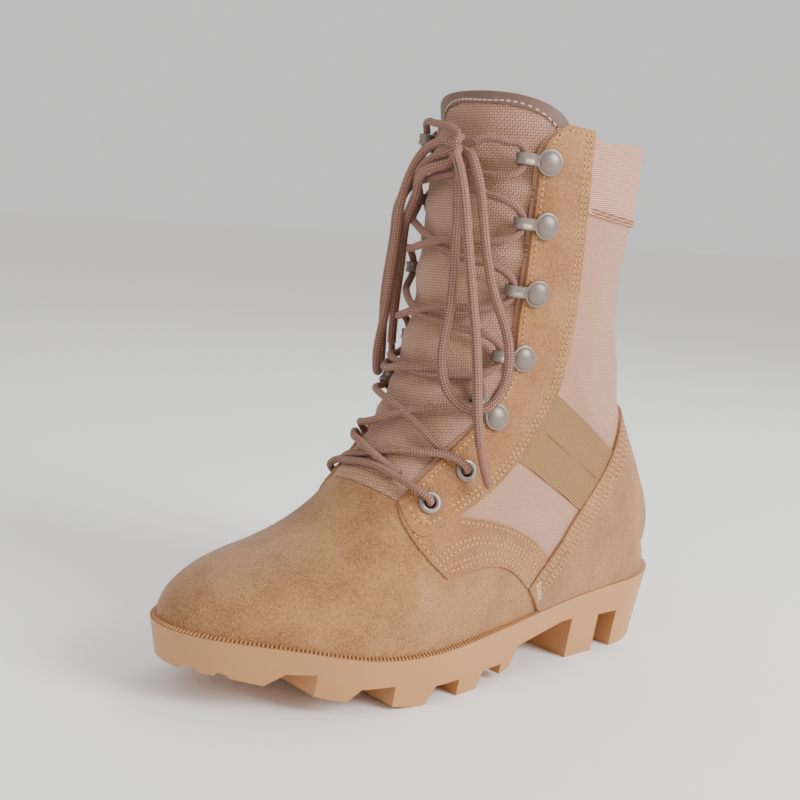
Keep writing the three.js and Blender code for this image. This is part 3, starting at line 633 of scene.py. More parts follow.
def cut(piece, tool, operation):
    """Joins or cuts two closed pieces, and removes the tool."""
    modifier = piece.modifiers.new("cut", "BOOLEAN")
    modifier.operation = operation
    modifier.object = tool
    modifier.solver = "MANIFOLD"
    graph = bpy.context.evaluated_depsgraph_get()
    mesh = bpy.data.meshes.new_from_object(piece.evaluated_get(graph))
    piece.modifiers.clear()
    piece.data = mesh
    bpy.data.objects.remove(tool)
    return piece


def side_bar(points, slot, start=-WIDE, end=WIDE):
    """A bar along X whose side view is the closed line of [y, z] points."""
    points = np.array(points, float)
    keep = np.linalg.norm(points - np.roll(points, 1, axis=0), axis=1) > 0.02
    points = points[keep]
    ends = [np.insert(points, 0, x, axis=1) for x in (start, end)]
    faces = between_rings(numbered(2, len(points)))
    uv = np.tile(points, (2, 1))
    bar = add_mesh("bar", np.concatenate(ends), faces, LAYERS, uv, [slot] * len(faces))
    return clean(bar, 0.0001)


# Outer, inner and edge faces keep these places in every boolean.
LAYERS = [bpy.data.materials.new(name) for name in ("outer", "inner", "edge")]

# The form's rows are closer together at the tip of the toe and at the heel.
CLOSE = np.arange(14) / 14
LOW_ROWS = np.linspace(1, HEEL_ROW - 1, 60, endpoint=False)
SHAFT_ROWS = np.linspace(HEEL_ROW, LAST_ROW, 96)
FORM_ROWS = np.concatenate([CLOSE**2, LOW_ROWS, HEEL_ROW - (1 - CLOSE) ** 2, SHAFT_ROWS])
LOW_COLUMNS = 16
HIGH_COLUMNS = 30


class Grid:
    """The form's grid: points, normals and surface coordinates, found once."""

    def __init__(self):
        widest = section_at(FORM_ROWS)["widest"][:, None]
        low = 1 - np.cos(np.arange(LOW_COLUMNS) / LOW_COLUMNS * math.pi / 2)
        high = np.sin(np.arange(HIGH_COLUMNS + 1) / HIGH_COLUMNS * math.pi / 2)
        shares = np.concatenate([widest * low, widest + (1 - widest) * high], axis=1)
        rows = np.broadcast_to(FORM_ROWS[:, None], shares.shape)
        outer = form_points(rows, shares, 1)
        inner = form_points(rows, shares, -1)
        self.points = np.concatenate([outer, inner[:, -2::-1]], axis=1)
        down = np.gradient(self.points, axis=0)
        around = np.gradient(self.points, axis=1)
        normals = np.cross(down, around)
        flat = np.linalg.norm(normals, axis=-1, keepdims=True) < 1e-7
        normals = np.where(flat, np.roll(normals, -1, axis=0), normals)
        normals[0] = (0, -1, 0)
        heel = FORM_ROWS > HEEL_ROW - 0.01
        middle = (unit(normals[heel, 0]) + unit(normals[heel, -1])) / 2
        normals[heel, 0] = middle
        normals[heel, -1] = middle
        self.normals = unit(normals)
        steps = np.linalg.norm(np.diff(self.points[..., :2], axis=1), axis=-1)
        around = np.concatenate([np.zeros((len(steps), 1)), np.cumsum(steps, axis=1)], axis=1)
        at_widest = around[:, LOW_COLUMNS][:, None]
        y_there = self.points[:, LOW_COLUMNS, 1][:, None]
        self.uv = np.stack([at_widest - around + y_there, self.points[..., 2]], axis=-1)


grid = Grid()

# Soft folds: from (y, z) to (y, z) in side view, how wide and how deep, in millimetres.
CREASES = [
    # start, end, half width, depth
    ((50, 152), (66, 128), 5, 1.7),
    ((66, 160), (84, 130), 5, -1.5),
    ((82, 170), (100, 138), 6, 1.7),
    ((92, 205), (104, 172), 7, -1.2),
    ((58, 202), (64, 165), 8, 1.1),
    ((12, 92), (38, 84), 5, -0.9),
    ((20, 82), (44, 72), 5, 0.8),
    ((-70, 60), (-58, 42), 8, -0.9),
    ((-40, 52), (-30, 36), 7, -0.8),
    ((110, 100), (126, 84), 9, -0.8),
]


def from_segment(place, start, end):
    """How far places in a plane are from a segment, and the share of the way along it."""
    run = end - start
    share = np.clip(((place - start) @ run) / max(run @ run, 1e-6), 0, 1)
    return np.linalg.norm(place - start - share[..., None] * run, axis=-1), share


def folds(points):
    """How far the soft folds push each point of the form out."""
    total = np.zeros(points.shape[:-1])
    place = points[..., 1:]
    for start, end, width, depth in CREASES:
        away, share = from_segment(place, np.array(start, float), np.array(end, float))
        fade = np.sin(np.clip(share, 0.02, 0.98) * math.pi) ** 0.5
        total += depth * np.exp(-((away / width) ** 2)) * (0.4 + 0.6 * fade)
    return total


def form(out, slot, relief=0.0, start=0.0):
    """The whole form as a closed piece, swollen by out and relief. slot is its material."""
    rows = FORM_ROWS >= start
    points = (grid.points + (out + relief)[..., None] * grid.normals)[rows]
    index = numbered(*points.shape[:2])
    here, right = index[:-1], np.roll(index, -1, axis=1)[:-1]
    below, below_right = index[1:], np.roll(index, -1, axis=1)[1:]
    faces = np.stack([here, below, below_right, right], axis=-1).reshape(-1, 4).tolist()
    faces += [index[0].tolist(), index[-1][::-1].tolist()]
    uv = grid.uv[rows].reshape(-1, 2)
    return clean(add_mesh("form", points.reshape(-1, 3), faces, LAYERS, uv, [slot] * len(faces)))


still = np.zeros(grid.points.shape[:2])
folded = folds(grid.points)


def panel(name, outline, looks, layer, relief=folded, start=0.0, ends=(-WIDE, WIDE)):
    """A layer of the upper between two offsets of the form, cut to a side-view outline.

    looks are the outer, inner and edge materials, and layer is the inner and outer offset.
    outline is a line, or gives one for a side.
    """
    inner, outer = layer
    piece = form(still + outer, 0, relief, start)
    cutter = both_sides(outline) if callable(outline) else side_bar(outline, 2, *ends)
    cut(piece, cutter, "INTERSECT")
    cut(piece, form(still + inner, 1, relief, start), "DIFFERENCE")
    piece.name = name
    piece.data.materials.clear()
    for material in looks:
        piece.data.materials.append(material)
    return soften(clean(piece, 0.01))


def both_sides(outline):
    """A cutter from an outline for each side of the boot."""
    lateral = side_bar(outline("lateral"), 2, 0, WIDE)
    return cut(lateral, side_bar(outline("medial"), 2, -WIDE, 0), "UNION")


def instance(template, places, tangents, normals):
    """Copies of a template's points in millimetres: x along tangents, z along normals."""
    normals = unit(normals)
    across = unit(np.cross(normals, tangents))
    ahead = np.cross(across, normals)
    axes = np.stack([ahead, across, normals], axis=1)
    return places[:, None] + np.einsum("pk,nkc->npc", template, axes)


def capsule(length, width, thick, rings=5, sides=6):
    """Points and faces of a rounded stick along x."""
    points = []
    for i in range(rings):
        turn = math.pi * (i + 0.5) / rings
        size = math.sin(turn) ** 0.6
        for j in range(sides):
            a = math.tau * j / sides
            x = -math.cos(turn) * length / 2
            points.append((x, math.cos(a) * size * width / 2, math.sin(a) * size * thick / 2))
    return np.array(points), between_rings(numbered(rings, sides))


# ---- Camera
# The viewpoint is on the lateral side and ahead, a little above the ankle.
CAMERA_PLACE = (442.1, -423.75, 219.13)
CAMERA_RIGHT = (0.57767, 0.81429, 0.05685)
CAMERA_UP = (-0.13568, 0.02711, 0.99038)
CAMERA_BACK = (0.80491, -0.57983, 0.12614)

camera_data = bpy.data.cameras.new("camera")
camera_data.sensor_width = 36
camera_data.lens = 54
camera_data.shift_x = 0.158
camera_data.shift_y = -0.03
camera = bpy.data.objects.new("camera", camera_data)
bpy.context.scene.collection.objects.link(camera)
axes = Matrix((CAMERA_RIGHT, CAMERA_UP, CAMERA_BACK)).transposed()
camera.matrix_world = Matrix.Translation(Vector(CAMERA_PLACE) * MM) @ axes.to_4x4()
bpy.context.scene.camera = camera


# ---- Hooks, eyelets and the places on them
HOOKS = [
    # y, z, ahead, up
    (0.2, 132, -0.75, 0.66),
    (16.2, 160.4, -1, 0.08),
    (18.6, 192.6, -1, 0.05),
    (19.4, 225, -1, 0.05),
    (18.6, 255, -1, 0.08),
]
EYELETS = [(-38.2, 92.6, -0.72, 0.69), (-17.6, 106.9, -0.72, 0.69)]
HOOK_BASE = 2.5
HOOK_REACH = 13.6
HOOK_BEND = 2.5
HOOK_SHEET = 1.2
HOOK_MIDDLE = HOOK_BASE + 0.1  # how far out the lace lies in a hook
EYELET_BASE = 2.4


def fitting_frame(row, side):
    """A matrix in millimetres: x along the arm, y out of the leather."""
    y, z, ahead, up = row
    points, normals = side_places([(y, z)], side)
    normal = Vector(normals[0])
    arm = Vector((0, ahead, up))
    arm = (arm - normal * arm.dot(normal)).normalized()
    turned = Matrix((arm, normal, arm.cross(normal))).transposed()
    return Matrix.Translation(Vector(points[0])) @ turned.to_4x4()


frames = {
    name: {
        "hooks": [fitting_frame(row, side) for row in raised(HOOKS, side)],
        "eyelets": [fitting_frame(row, side) for row in raised(EYELETS, side)],
    }
    for name, side in SIDES.items()
}


def in_frame(matrix, arm, out, up, side):
    """A point beside a hook or eyelet: along its arm, out of the leather and up."""
    return tuple(matrix @ Vector((arm, out, up * side)))


# ---- Laces
CORD_SIDES = 14
TAPER_LENGTH = 1.2
ASKEW = (0.3, 0.2, 0.9)  # a direction that no cord starts in


def cord(name, route, diameter, material, spacing=1.1, taper=0.0):
    """A round tube along a smooth curve through the route, and the curve's points."""
    line = smooth_line(route, spacing)
    ahead = unit(np.gradient(line, axis=0))
    side = unit(np.cross(ahead[0], ASKEW))
    turns = np.arange(CORD_SIDES) / CORD_SIDES * math.tau
    along = travel(line)
    points = []
    uv = []
    for place, direction, distance in zip(line, ahead, along):
        side = unit(side - direction * side.dot(direction))
        up = np.cross(direction, side)
        end = min(distance, along[-1] - distance)
        radius = diameter / 2 * (1 - taper * math.exp(-end / TAPER_LENGTH))
        ring = np.cos(turns)[:, None] * side + np.sin(turns)[:, None] * up
        points.append(place + radius * ring)
        uv.append(np.stack([np.full(CORD_SIDES, distance), turns / math.tau / MM], axis=1))
    faces = between_rings(numbered(len(line), CORD_SIDES))
    piece = add_mesh(name, np.concatenate(points), faces, [material], np.concatenate(uv))
    return soften(piece, 60), line


LACE_LIFT = 2.4  # how far out of the form the middle of a tight lace lies
CROSS_RISE = 1.5  # how far a crossing lace rises, or sinks, where it meets the other


def pass_hook(matrix, side):
    """Four points of a lace round the inside of a hook."""
    places = [(2.4, -0.2, -6.6), (-0.3, 0, -3.4), (-0.3, 0, 3.4), (2.4, -0.2, 6.6)]
    return [
        in_frame(matrix, HOOK_REACH + arm, HOOK_MIDDLE + out, up, side) for arm, out, up in places
    ]


def into_eyelet(matrix, side):
    """Four points of a lace that goes down into an eyelet."""
    places = [(5, EYELET_BASE + 3.4), (1.2, EYELET_BASE + 2.6), (0, EYELET_BASE), (0, -1)]
    return [in_frame(matrix, arm, out, 0, side) for arm, out in places]


def across_front(start, end, rise):
    """Points over the tongue between two points, lifted by rise where the laces cross."""
    shares = np.array([0.25, 0.5, 0.76])
    start, end = np.array(start), np.array(end)
    ends = start + (end - start) * shares[:, None]
    return front_places(ends[:, [0, 2]], LACE_LIFT + np.array([0.4, 1, 0.4]) * rise).tolist()


def low_lacing():
    """The bar over the lowest eyelets, and the cross from its ends to the upper ones."""
    low, high = 0, 1
    lateral, medial = frames["lateral"]["eyelets"], frames["medial"]["eyelets"]
    bar = [
        *into_eyelet(lateral[low], 1)[::-1],
        *front_places(
            [(23.6, 103), (12.6, 106.5), (1.6, 106.5), (-9.4, 104.5), (-19.4, 102)],
            [2.4, 1.4, 0.9, 1.4, 2.4],
        ),
        *into_eyelet(medial[low], -1),
    ]
    outward = [
        *front_places(
            [(24.6, 104), (14.6, 109), (4.6, 112.5), (-7.4, 115), (-18.4, 114.5)],
            [1.2, 1.6, 4.2, 3.4, 2.6],
        ),
        *into_eyelet(medial[high], -1),
    ]
    inward = [
        *front_places(
            [(-18.4, 103), (-7.4, 108), (5.6, 111.5), (16.6, 114.2), (26, 114.6)],
            [1.2, 1.4, 0.6, 1.8, 2.6],
        ),
        *into_eyelet(lateral[high], 1),
    ]
    return [bar, outward, inward]


def strand(start, end, side, rise):
    """A strand from behind an upper eyelet, up round a hook on one side and then the other."""
    eyelet = frames["medial" if side > 0 else "lateral"]["eyelets"][1]
    points = [in_frame(eyelet, 1, -3.2, 0, -side), in_frame(eyelet, 5.5, -1.8, 0, -side)]
    points += front_places(start, LACE_LIFT).tolist()
    for level in range(len(HOOKS)):
        matrix = frames["lateral" if side > 0 else "medial"]["hooks"][level]
        passing = pass_hook(matrix, side)
        if level:
            points += across_front(points[-1], passing[0], rise)
        points += passing
        side = -side
        rise = -rise
    return points + end


STRANDS = [
    {
        "side": -1,
        "start": [(28.1, 120), (20.6, 127), (10.6, 133), (-2.4, 137), (-16.4, 138)],
        "end": [
            (-22.5, -1, 275), (-9, -8, 273), (1, -10.5, 271.5), (8, -12, 269.5),
            (11.3, -13, 268.4),
        ],
    },
    {
        "side": 1,
        "start": [(-22.4, 119), (-10.4, 122.5), (1.6, 126), (13.6, 131.5), (23.6, 135)],
        "end": [(35, -1, 263.5), (29, -8, 265), (23, -12.3, 262.8)],
    },
]
BOW = {
    "lace_loop_a": [
        (8.6, -14.5, 263.2), (2.5, -14.8, 263), (-4.5, -14.8, 261.3), (-12, -15, 256),
        (-17, -15.8, 247.5), (-21, -17.2, 233.5), (-24, -15.8, 219.5), (-26.4, -15, 203.5),
        (-28, -15.3, 187), (-29.2, -16.6, 171), (-30.3, -18.2, 155.2), (-31.6, -16.8, 149.1),
        (-35.2, -13, 145.4), (-39.5, -8.3, 145.4), (-43.1, -4.5, 149.1), (-44.4, -3.1, 155.2),
        (-42.9, -4.6, 165), (-40, -7.3, 175), (-36.6, -10.2, 187), (-32.6, -11.8, 203.5),
        (-30.3, -12, 219.5), (-26.8, -13.2, 233), (-20, -12.3, 243), (-12.5, -14, 248.8),
        (-6, -15.3, 253), (0, -15.8, 255.5), (8.6, -14.5, 257.6),
    ],
    "lace_loop_b": [
        (17.5, -14.5, 252.9), (19.5, -17.5, 246.5), (22, -19.5, 237), (23.7, -20.3, 226.5),
        (25, -21.5, 215.5), (26.5, -22.5, 203), (27.5, -23.5, 190), (28, -25.5, 177),
        (28.5, -28, 164.5), (31, -29.5, 154), (34.5, -29, 146), (38, -26, 140.5),
        (42.2, -21.5, 137.3), (46.5, -16.5, 137.7), (49.5, -11.5, 142.2), (50.3, -7, 150.5),
        (49.8, -5, 160.3), (47.8, -4.5, 170), (44.6, -6, 180), (42, -9.5, 190.5), (39.8, -13, 204),
        (37.2, -14.5, 218), (34.5, -15, 232.3), (32, -15.5, 243), (28.5, -15.8, 251.5),
        (22.8, -13.3, 256.8),
    ],
    "lace_end_a": [
        (11.8, -15.5, 253.2), (8, -18.5, 251.5), (2, -19.8, 250), (-6, -18.5, 246.8),
        (-12, -14.7, 241.5), (-16.3, -12, 236.5), (-19.6, -12.4, 229), (-25, -10, 220),
        (-30.5, -6, 203.5), (-33.3, -5, 187), (-36, -3.5, 171), (-38.5, -1.5, 160),
    ],
    "lace_end_b": [
        (19.2, -20.3, 257), (23.8, -22.3, 252), (28, -23.5, 245), (32, -24, 233),
        (34.5, -23.5, 219.5), (36.5, -22, 203.5), (38.3, -20.3, 187.5), (41.5, -20.2, 173),
        (45.5, -21.7, 159), (48.5, -22.8, 145), (49.4, -22, 132.5), (49.5, -19.5, 121),
    ],
}
AGLETS = {
    "aglet_a": [(-38.9, -0.8, 157.5), (-41.8, 4.5, 137)],
    "aglet_b": [(49.6, -18.9, 118.5), (52.5, -14.5, 101)],
}
KNOT_CENTRE = (15.5, -13.5, 260.5)
KNOT_TURNS = 1.45
KNOT_POINTS = 40
KNOT_LACE = 4.6
KNOT_SPACING = 0.8
SLEEVE = 3.9


def join(name, pieces):
    """Several mesh pieces as one, with their materials kept."""
    first = pieces[0]
    with bpy.context.temp_override(
        object=first, active_object=first, selected_editable_objects=pieces, selected_objects=pieces
    ):
        bpy.ops.object.join()
    first.name = name
    return first


def finish_piece(piece, slot, *nodes):
    """Every piece rides on the boot's one body and may stand for CAD nodes, which it hides. slot is
    not used.
    """
    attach(piece, "root")
    if nodes:
        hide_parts(*nodes)
    return piece


def tight_laces(node, routes):
    """Tight laces that are one node in the CAD, as one piece."""
    pieces = [cord(f"{node}_{i}", route, LACE, LACE_BRAID)[0] for i, route in enumerate(routes)]
    finish_piece(join(f"{node}_braid", pieces), "lace", node)


strand_routes = [
    strand(row["start"], row["end"], row["side"], CROSS_RISE * row["side"]) for row in STRANDS
]
tight_laces("lace_low_cross", low_lacing())
tight_laces("lace_crossings", strand_routes)


def knot_pieces():
    """Lace wound round the knot, and a stub into it from each lace that it holds."""
    centre = np.array(KNOT_CENTRE)
    turns = np.linspace(-0.6, KNOT_TURNS * math.tau, KNOT_POINTS)
    across = np.linspace(-2.6, 2.6, KNOT_POINTS)
    wound = np.stack([across, 3.1 * np.sin(turns), -4.1 * np.cos(turns)], axis=1)
    pieces = [cord("knot", centre + wound, KNOT_LACE, LACE_BRAID, KNOT_SPACING)[0]]
    held = [(route[0], LOOSE_LACE) for route in BOW.values()]
    held += [(BOW[name][-1], LOOSE_LACE) for name in ("lace_loop_a", "lace_loop_b")]
    held += [(route[-1], LACE) for route in strand_routes]
    for i, (end, diameter) in enumerate(held):
        stub = [centre + (np.array(end) - centre) * share for share in (0.1, 0.6, 1.03)]
        pieces.append(cord(f"stub_{i}", stub, diameter, LACE_BRAID, KNOT_SPACING)[0])
    return pieces


finish_piece(join("lace_knot_braid", knot_pieces()), "lace", "lace_knot")

for name, ends in AGLETS.items():
    reach = BOW[name.replace("aglet", "lace_end")][-1]
    piece, _ = cord(name, [reach, *ends], SLEEVE, AGLET, spacing=0.6, taper=0.25)
    piece.name = name + "_sleeve"
    finish_piece(piece, "aglet", name)

for name, route in BOW.items():
    piece, line = cord(name, route, LOOSE_LACE, LACE_BRAID)
    piece.name = name + "_braid"
    finish_piece(piece, "lace", name)

# ---- Upper
# How far out of the form the inner and outer faces of each layer are.
LAYER = {
    "vamp": (-WALL, 0.2),
    "quarter": (-WALL, 0),
    "collar_band": (0.02, 0.8),
    "webbing": (0.02, 0.9),
    "saddle": (0.2, 1.3),
    "band_hem": (0.4, 1.3),
    "counter": (0.2, 1.8),
    "eyestay_suede": (0.2, 1.9),
}
BACK_SEAM = 3.7  # x of the seam up the heel
FRONT_SEAM = 2  # the layers of a side stop this far from the middle of the front
NYLON_START = 42.2  # y where the nylon comes out from under the saddle
HEM = 3.4
BORE = 4  # radius of the hole for an eyelet
STRAP_TILT = math.radians(34.5)
COLLAR_TOP = COLLAR[-1][1]
FRONT_END = TOE - OUTSIDE
BACK_END = HEEL + OUTSIDE
SUEDE = (OVERLAY_SUEDE, CUT_EDGE_AND_SHADOW, CUT_EDGE_AND_SHADOW)
BAND = (BAND_NYLON, LINING, NYLON_EDGE)


# Outlines are closed lines of [y, z] points in side view.
def vamp_outline():
    throat = [(-70, 107), (FRONT_END, 107)]
    return np.concatenate([sole_line(FRONT_END, 42, GAP), under_saddle, throat])


def counter_outline():
    corner = [(BACK_END, counter_edge[-1][1])]
    return np.concatenate([counter_edge, corner, sole_line(BACK_END, COUNTER_FOOT, GAP)])


def quarter_outline(side):
    base = sole_line(NYLON_START, BACK_END, GAP)
    top = raised(collar, side)[::-1]
    front = raised(eyestay_front, side)[::-1]
    low = under_saddle[::-1][1:] + (0.2, 0)
    return np.concatenate([base, [(BACK_END, COLLAR_TOP)], top, front, low])


def band_outline(side):
    hem = raised(band_edge, side)
    back = [(BACK_END, hem[-1][1]), (BACK_END, COLLAR_TOP)]
    return np.concatenate([hem, back, raised(collar, side)[::-1] - (0, 0.1)])


def hem_outline(side):
    hem = raised(band_edge, side)
    return np.concatenate([hem, (hem + (0, HEM))[::-1]])


def strap_outline(side):
    return raised(resample(STRAP + STRAP[:1], 3), side)


def saddle_outline(_):
    under_eyestay = eyestay_rear[:8] + (0, 2)
    under_counter = [(y - 0.6, z + 0.3) for y, z in counter_edge[::-1] if 23 < y < 36]
    rest = [saddle_arch[1:], saddle_front[1:], [(-44, 94)]]
    return np.concatenate([under_eyestay, saddle_top[1:], under_counter, *rest])


def eyestay_outline(side):
    line = np.concatenate([eyestay_front, eyestay_rear[::-1], eyestay_foot[::-1][1:-1]])
    return raised(line, side)


def punch(piece, matrix):
    """Cuts the hole for an eyelet through a layer."""
    mesh = bpy.data.meshes.new("hole")
    work = bmesh.new()
    size = {"radius1": BORE * MM, "radius2": BORE * MM, "depth": 4 * BORE * MM}
    bmesh.ops.create_cone(work, cap_ends=True, segments=32, **size)
    quarter_turn = Matrix.Rotation(math.pi / 2, 4, "X")
    placed = Matrix.Scale(MM, 4) @ matrix @ Matrix.Scale(1 / MM, 4) @ quarter_turn
    bmesh.ops.transform(work, matrix=placed, verts=work.verts)
    work.to_mesh(mesh)
    work.free()
    cut(piece, add_object("hole", mesh, LAYERS), "DIFFERENCE")


vamp = panel("vamp", vamp_outline(), (VAMP, LINING, CUT_EDGE_AND_SHADOW), LAYER["vamp"])
finish_piece(vamp, "upper", "upper")

for name, side in SIDES.items():
    half = (BACK_SEAM, WIDE) if side > 0 else (-WIDE, BACK_SEAM)
    apart = (FRONT_SEAM, WIDE) if side > 0 else (-WIDE, -FRONT_SEAM)
    # The webbing's dark colour is painted shade between its ribs.
    webbing = ribbed(f"webbing {name}", "92663a", "65401e", "a97e4f", 1.25 * MM, STRAP_TILT * side)
    side_layers = [
        # kind, outline, looks, span, slot, nodes
        ("quarter", quarter_outline, (NYLON, LINING, NYLON_EDGE), half, "upper", ["upper"]),
        ("collar_band", band_outline, BAND, half, "upper", []),
        ("band_hem", hem_outline, BAND, half, "upper", []),
        ("webbing", strap_outline, (webbing, LINING, CUT_EDGE_AND_SHADOW), apart, "overlay", []),
        ("saddle", saddle_outline, SUEDE, apart, "overlay", [f"eyestay_{name}"]),
        ("eyestay_suede", eyestay_outline, SUEDE, apart, "overlay", [f"eyestay_{name}"]),
    ]
    for kind, outline, looks, span, slot, nodes in side_layers:
        piece = panel(f"{kind}_{name}", outline(side), looks, LAYER[kind], ends=span)
        if kind in ("quarter", "saddle", "eyestay_suede"):
            for matrix in frames[name]["eyelets"]:
                punch(piece, matrix)
            soften(piece)
        finish_piece(piece, slot, *nodes)
    for matrix in frames[name]["eyelets"]:
        punch(vamp, matrix)

counter = panel("counter", counter_outline(), SUEDE, LAYER["counter"])
finish_piece(counter, "overlay", "heel_counter")

# ---- Tongue
PUFF = 1.2  # how far the padding swells between the strands
DENT = 2  # how much lower it is under one
DENT_WIDTH = 7
PADDED_END = 30  # only the part of the tongue before this y is padded
AHEAD = -90  # y before all of the tongue
BINDING_SPAN = (-5.2, 0.6)  # where the binding starts and ends, from the tongue's own edge


def dents(routes):
    """1 under the strands, fading to 0 beside them, for each point of the form."""
    place = grid.points[..., [0, 2]]
    total = still
    for line in [np.array(route)[:, [0, 2]] for route in routes]:
        for start, end in zip(line[:-1], line[1:]):
            away = from_segment(place, start, end)[0]
            total = np.maximum(total, np.exp(-((away / DENT_WIDTH) ** 2)))
    return total


puff = np.where(grid.points[..., 1] < PADDED_END, PUFF - DENT * dents(strand_routes), 0)
outer_tongue = -WALL - GAP


def tongue_line(name):
    rear = smooth_line(TONGUE_REAR + TONGUE_TOP[name], 1.5)
    return np.concatenate([rear, [(AHEAD, rear[-1][1]), (AHEAD, TONGUE_REAR[0][1])]])


def binding_line(name):
    top = smooth_line(TONGUE_TOP[name], 1)
    low, high = (beside(top, distance) for distance in BINDING_SPAN)
    return np.concatenate([high, [(AHEAD, high[-1][1]), (AHEAD, low[-1][1])], low[::-1]])


# The vamp's edge across the throat, seen from the side, and the way up from it.
THROAT = np.array([(-50, 91.9), (-74, 110)])
THROAT_UP = np.array((0.603, 0.798))
BASE_STRIP = (0.4, 7)  # how far above the throat the strip on the tongue starts and ends


def base_line(_):
    start, end = (THROAT + THROAT_UP * share for share in BASE_STRIP)
    return np.concatenate([start, end[::-1]])


TONGUE_PANELS = [
    # name, outline, outer and inner and edge looks, inner, outer, first row of the form, nodes
    ("padding", tongue_line, (TONGUE_NYLON, LINING, BINDING), -TONGUE, 0, 1.5, ["tongue"]),
    ("binding", binding_line, (BINDING, BINDING, BINDING), -TONGUE - 0.7, 0.8, 6, []),
    ("base", base_line, (TONGUE_NYLON, TONGUE_NYLON, DARK_THREAD), -1, 0.9, 1.5, []),
]
for name, outline, looks, inner, outer, start, nodes in TONGUE_PANELS:
    layer = (outer_tongue + inner, outer_tongue + outer)
    finish_piece(panel(f"tongue_{name}", outline, looks, layer, puff, start), "tongue", *nodes)

# ---- Stitches
STITCH = capsule(2.3, 0.95, 0.6)
STITCH_SPACING = 3  # the spacing at which a stitch has its own length
FRONT_SPACING = 2.6  # between stitches over the tongue
THREAD_OUT = 0.05  # how far the middle of a stitch is above its layer
# A small dark mark at each stitch's end: painted shade in the hole the needle made.
NEEDLE_MARK_SHADE = capsule(0.7, 0.7, 0.24, 3, 6)


def stitch_rows(name, rows, side, thread, slot):
    """Stitches with painted shade at the needle's holes, in one piece: rows are (line, out,
    spacing).
    """
    points, faces, slots = [], [], []
    for line, out, spacing in rows:
        at, normals = side_places(resample(raised(line, side), spacing), side, out)
        ahead = np.diff(at, axis=0)
        lean = (normals[1:] + normals[:-1]) / 2
        middles = (at[1:] + at[:-1]) / 2
        stretch = np.array((spacing / STITCH_SPACING, 1, 1))
        for (template, sides), places, run, up, look in (
            (STITCH, middles, ahead, lean, 0),
            (NEEDLE_MARK_SHADE, at[1:-1], ahead[1:], normals[1:-1], 1),
        ):
            made = instance(template * stretch, places, run, up)
            added = repeated(sides, len(template), len(made), sum(map(len, points)))
            points.append(made.reshape(-1, 3))
            faces += added
            slots += [look] * len(added)
    piece = add_mesh(name, np.concatenate(points), faces, [thread, HOLE_SHADE], slots=slots)
    return finish_piece(soften(piece, 70), slot)


SADDLE_ROWS = [
    [(-41.5, 67.5), (-22, 75), (-8, 75.3), (8, 71), (20, 63.2), (29, 56)],
    [(-40, 65), (-22, 72.3), (-8, 72.6), (8, 68.4), (19, 61), (27.5, 54)],
    [(-33, 64.8), (-16, 67), (-4, 67.5), (9, 62.8), (18, 55.5)],
    [(-32, 62), (-16, 64.4), (-4, 64.7), (8, 60.2), (16.5, 53.2)],
]
SADDLE_LINES = [smooth_line(row, 1.5) for row in SADDLE_ROWS]


def tack(start, along, across, count):
    """Short stitches side by side, where a corner is sewn down."""
    start, along, across = (np.array(v, float) for v in (start, along, across))
    return [[start + across * i, start + across * i + along] for i in range(count)]


EYESTAY_ROWS = [
    beside(eyestay_front[3:-2], 2.8),
    beside(eyestay_rear, -2.3),
    beside(eyestay_rear, -4.9),
    [(-47.5, 91), (-46.5, 84.5), (-42.5, 83), (-34, 86.2)],
    [(20.5, 266.5), (28, 271), (40, 270)],
]
EYESTAY_TACK = tack((-45.5, 88), (4.6, -1), (0.5, -1.4), 3)
SADDLE_EDGES = [beside(saddle_top, 2.4)[2:-2], beside(saddle_front, 2.2)[2:-3]]
COUNTER_SEAM = counter_edge[counter_edge[:, 0] < 108]
COUNTER_ROWS = [beside(COUNTER_SEAM, gap)[2:-1] for gap in (2.2, 4.4, 8.4, 10.6)]
CORNER_TACK = tack((27.6, 46.2), (4.6, 2.6), (0.5, -1.6), 6)
STRAP_ROW = [(31, 123.4), (71.5, 97.2)]
HEM_SEAM = band_edge[(band_edge[:, 0] > 44) & (band_edge[:, 0] < 106)]
SEAMS = [
    # name, thread, slot, groups of (lines, how far out their layer is, spacing)
    ("eyestay", THREAD, "overlay", [(EYESTAY_ROWS, 1.9, 2.9), (EYESTAY_TACK, 1.9, 4.7)]),
    ("saddle", THREAD, "overlay", [(SADDLE_LINES + SADDLE_EDGES, 1.3, 2.8)]),
    ("counter", THREAD, "overlay", [(COUNTER_ROWS, 1.8, 2.8)]),
    ("corner", PALE_THREAD, "overlay", [(CORNER_TACK, 1.85, 5.3)]),
    (
        "nylon", DARK_THREAD, "upper",
        [([STRAP_ROW], 0.9, 2.8), ([HEM_SEAM + (0, 1.1), HEM_SEAM + (0, 2.6)], 1.3, 2.4)],
    ),
]
for name, side in SIDES.items():
    for kind, thread, slot, groups in SEAMS:
        rows = [(line, out + THREAD_OUT, gap) for lines, out, gap in groups for line in lines]
        stitch_rows(f"{kind}_stitches_{name}", rows, side, thread, slot)

BINDING_ROW = [
    # x, z seen from ahead
    (-26, 254.5), (-20, 268.5), (-12.5, 278.5), (-4, 283.5), (8, 284.5), (20, 283.7), (31, 283),
    (38.5, 279), (43.5, 270),
]


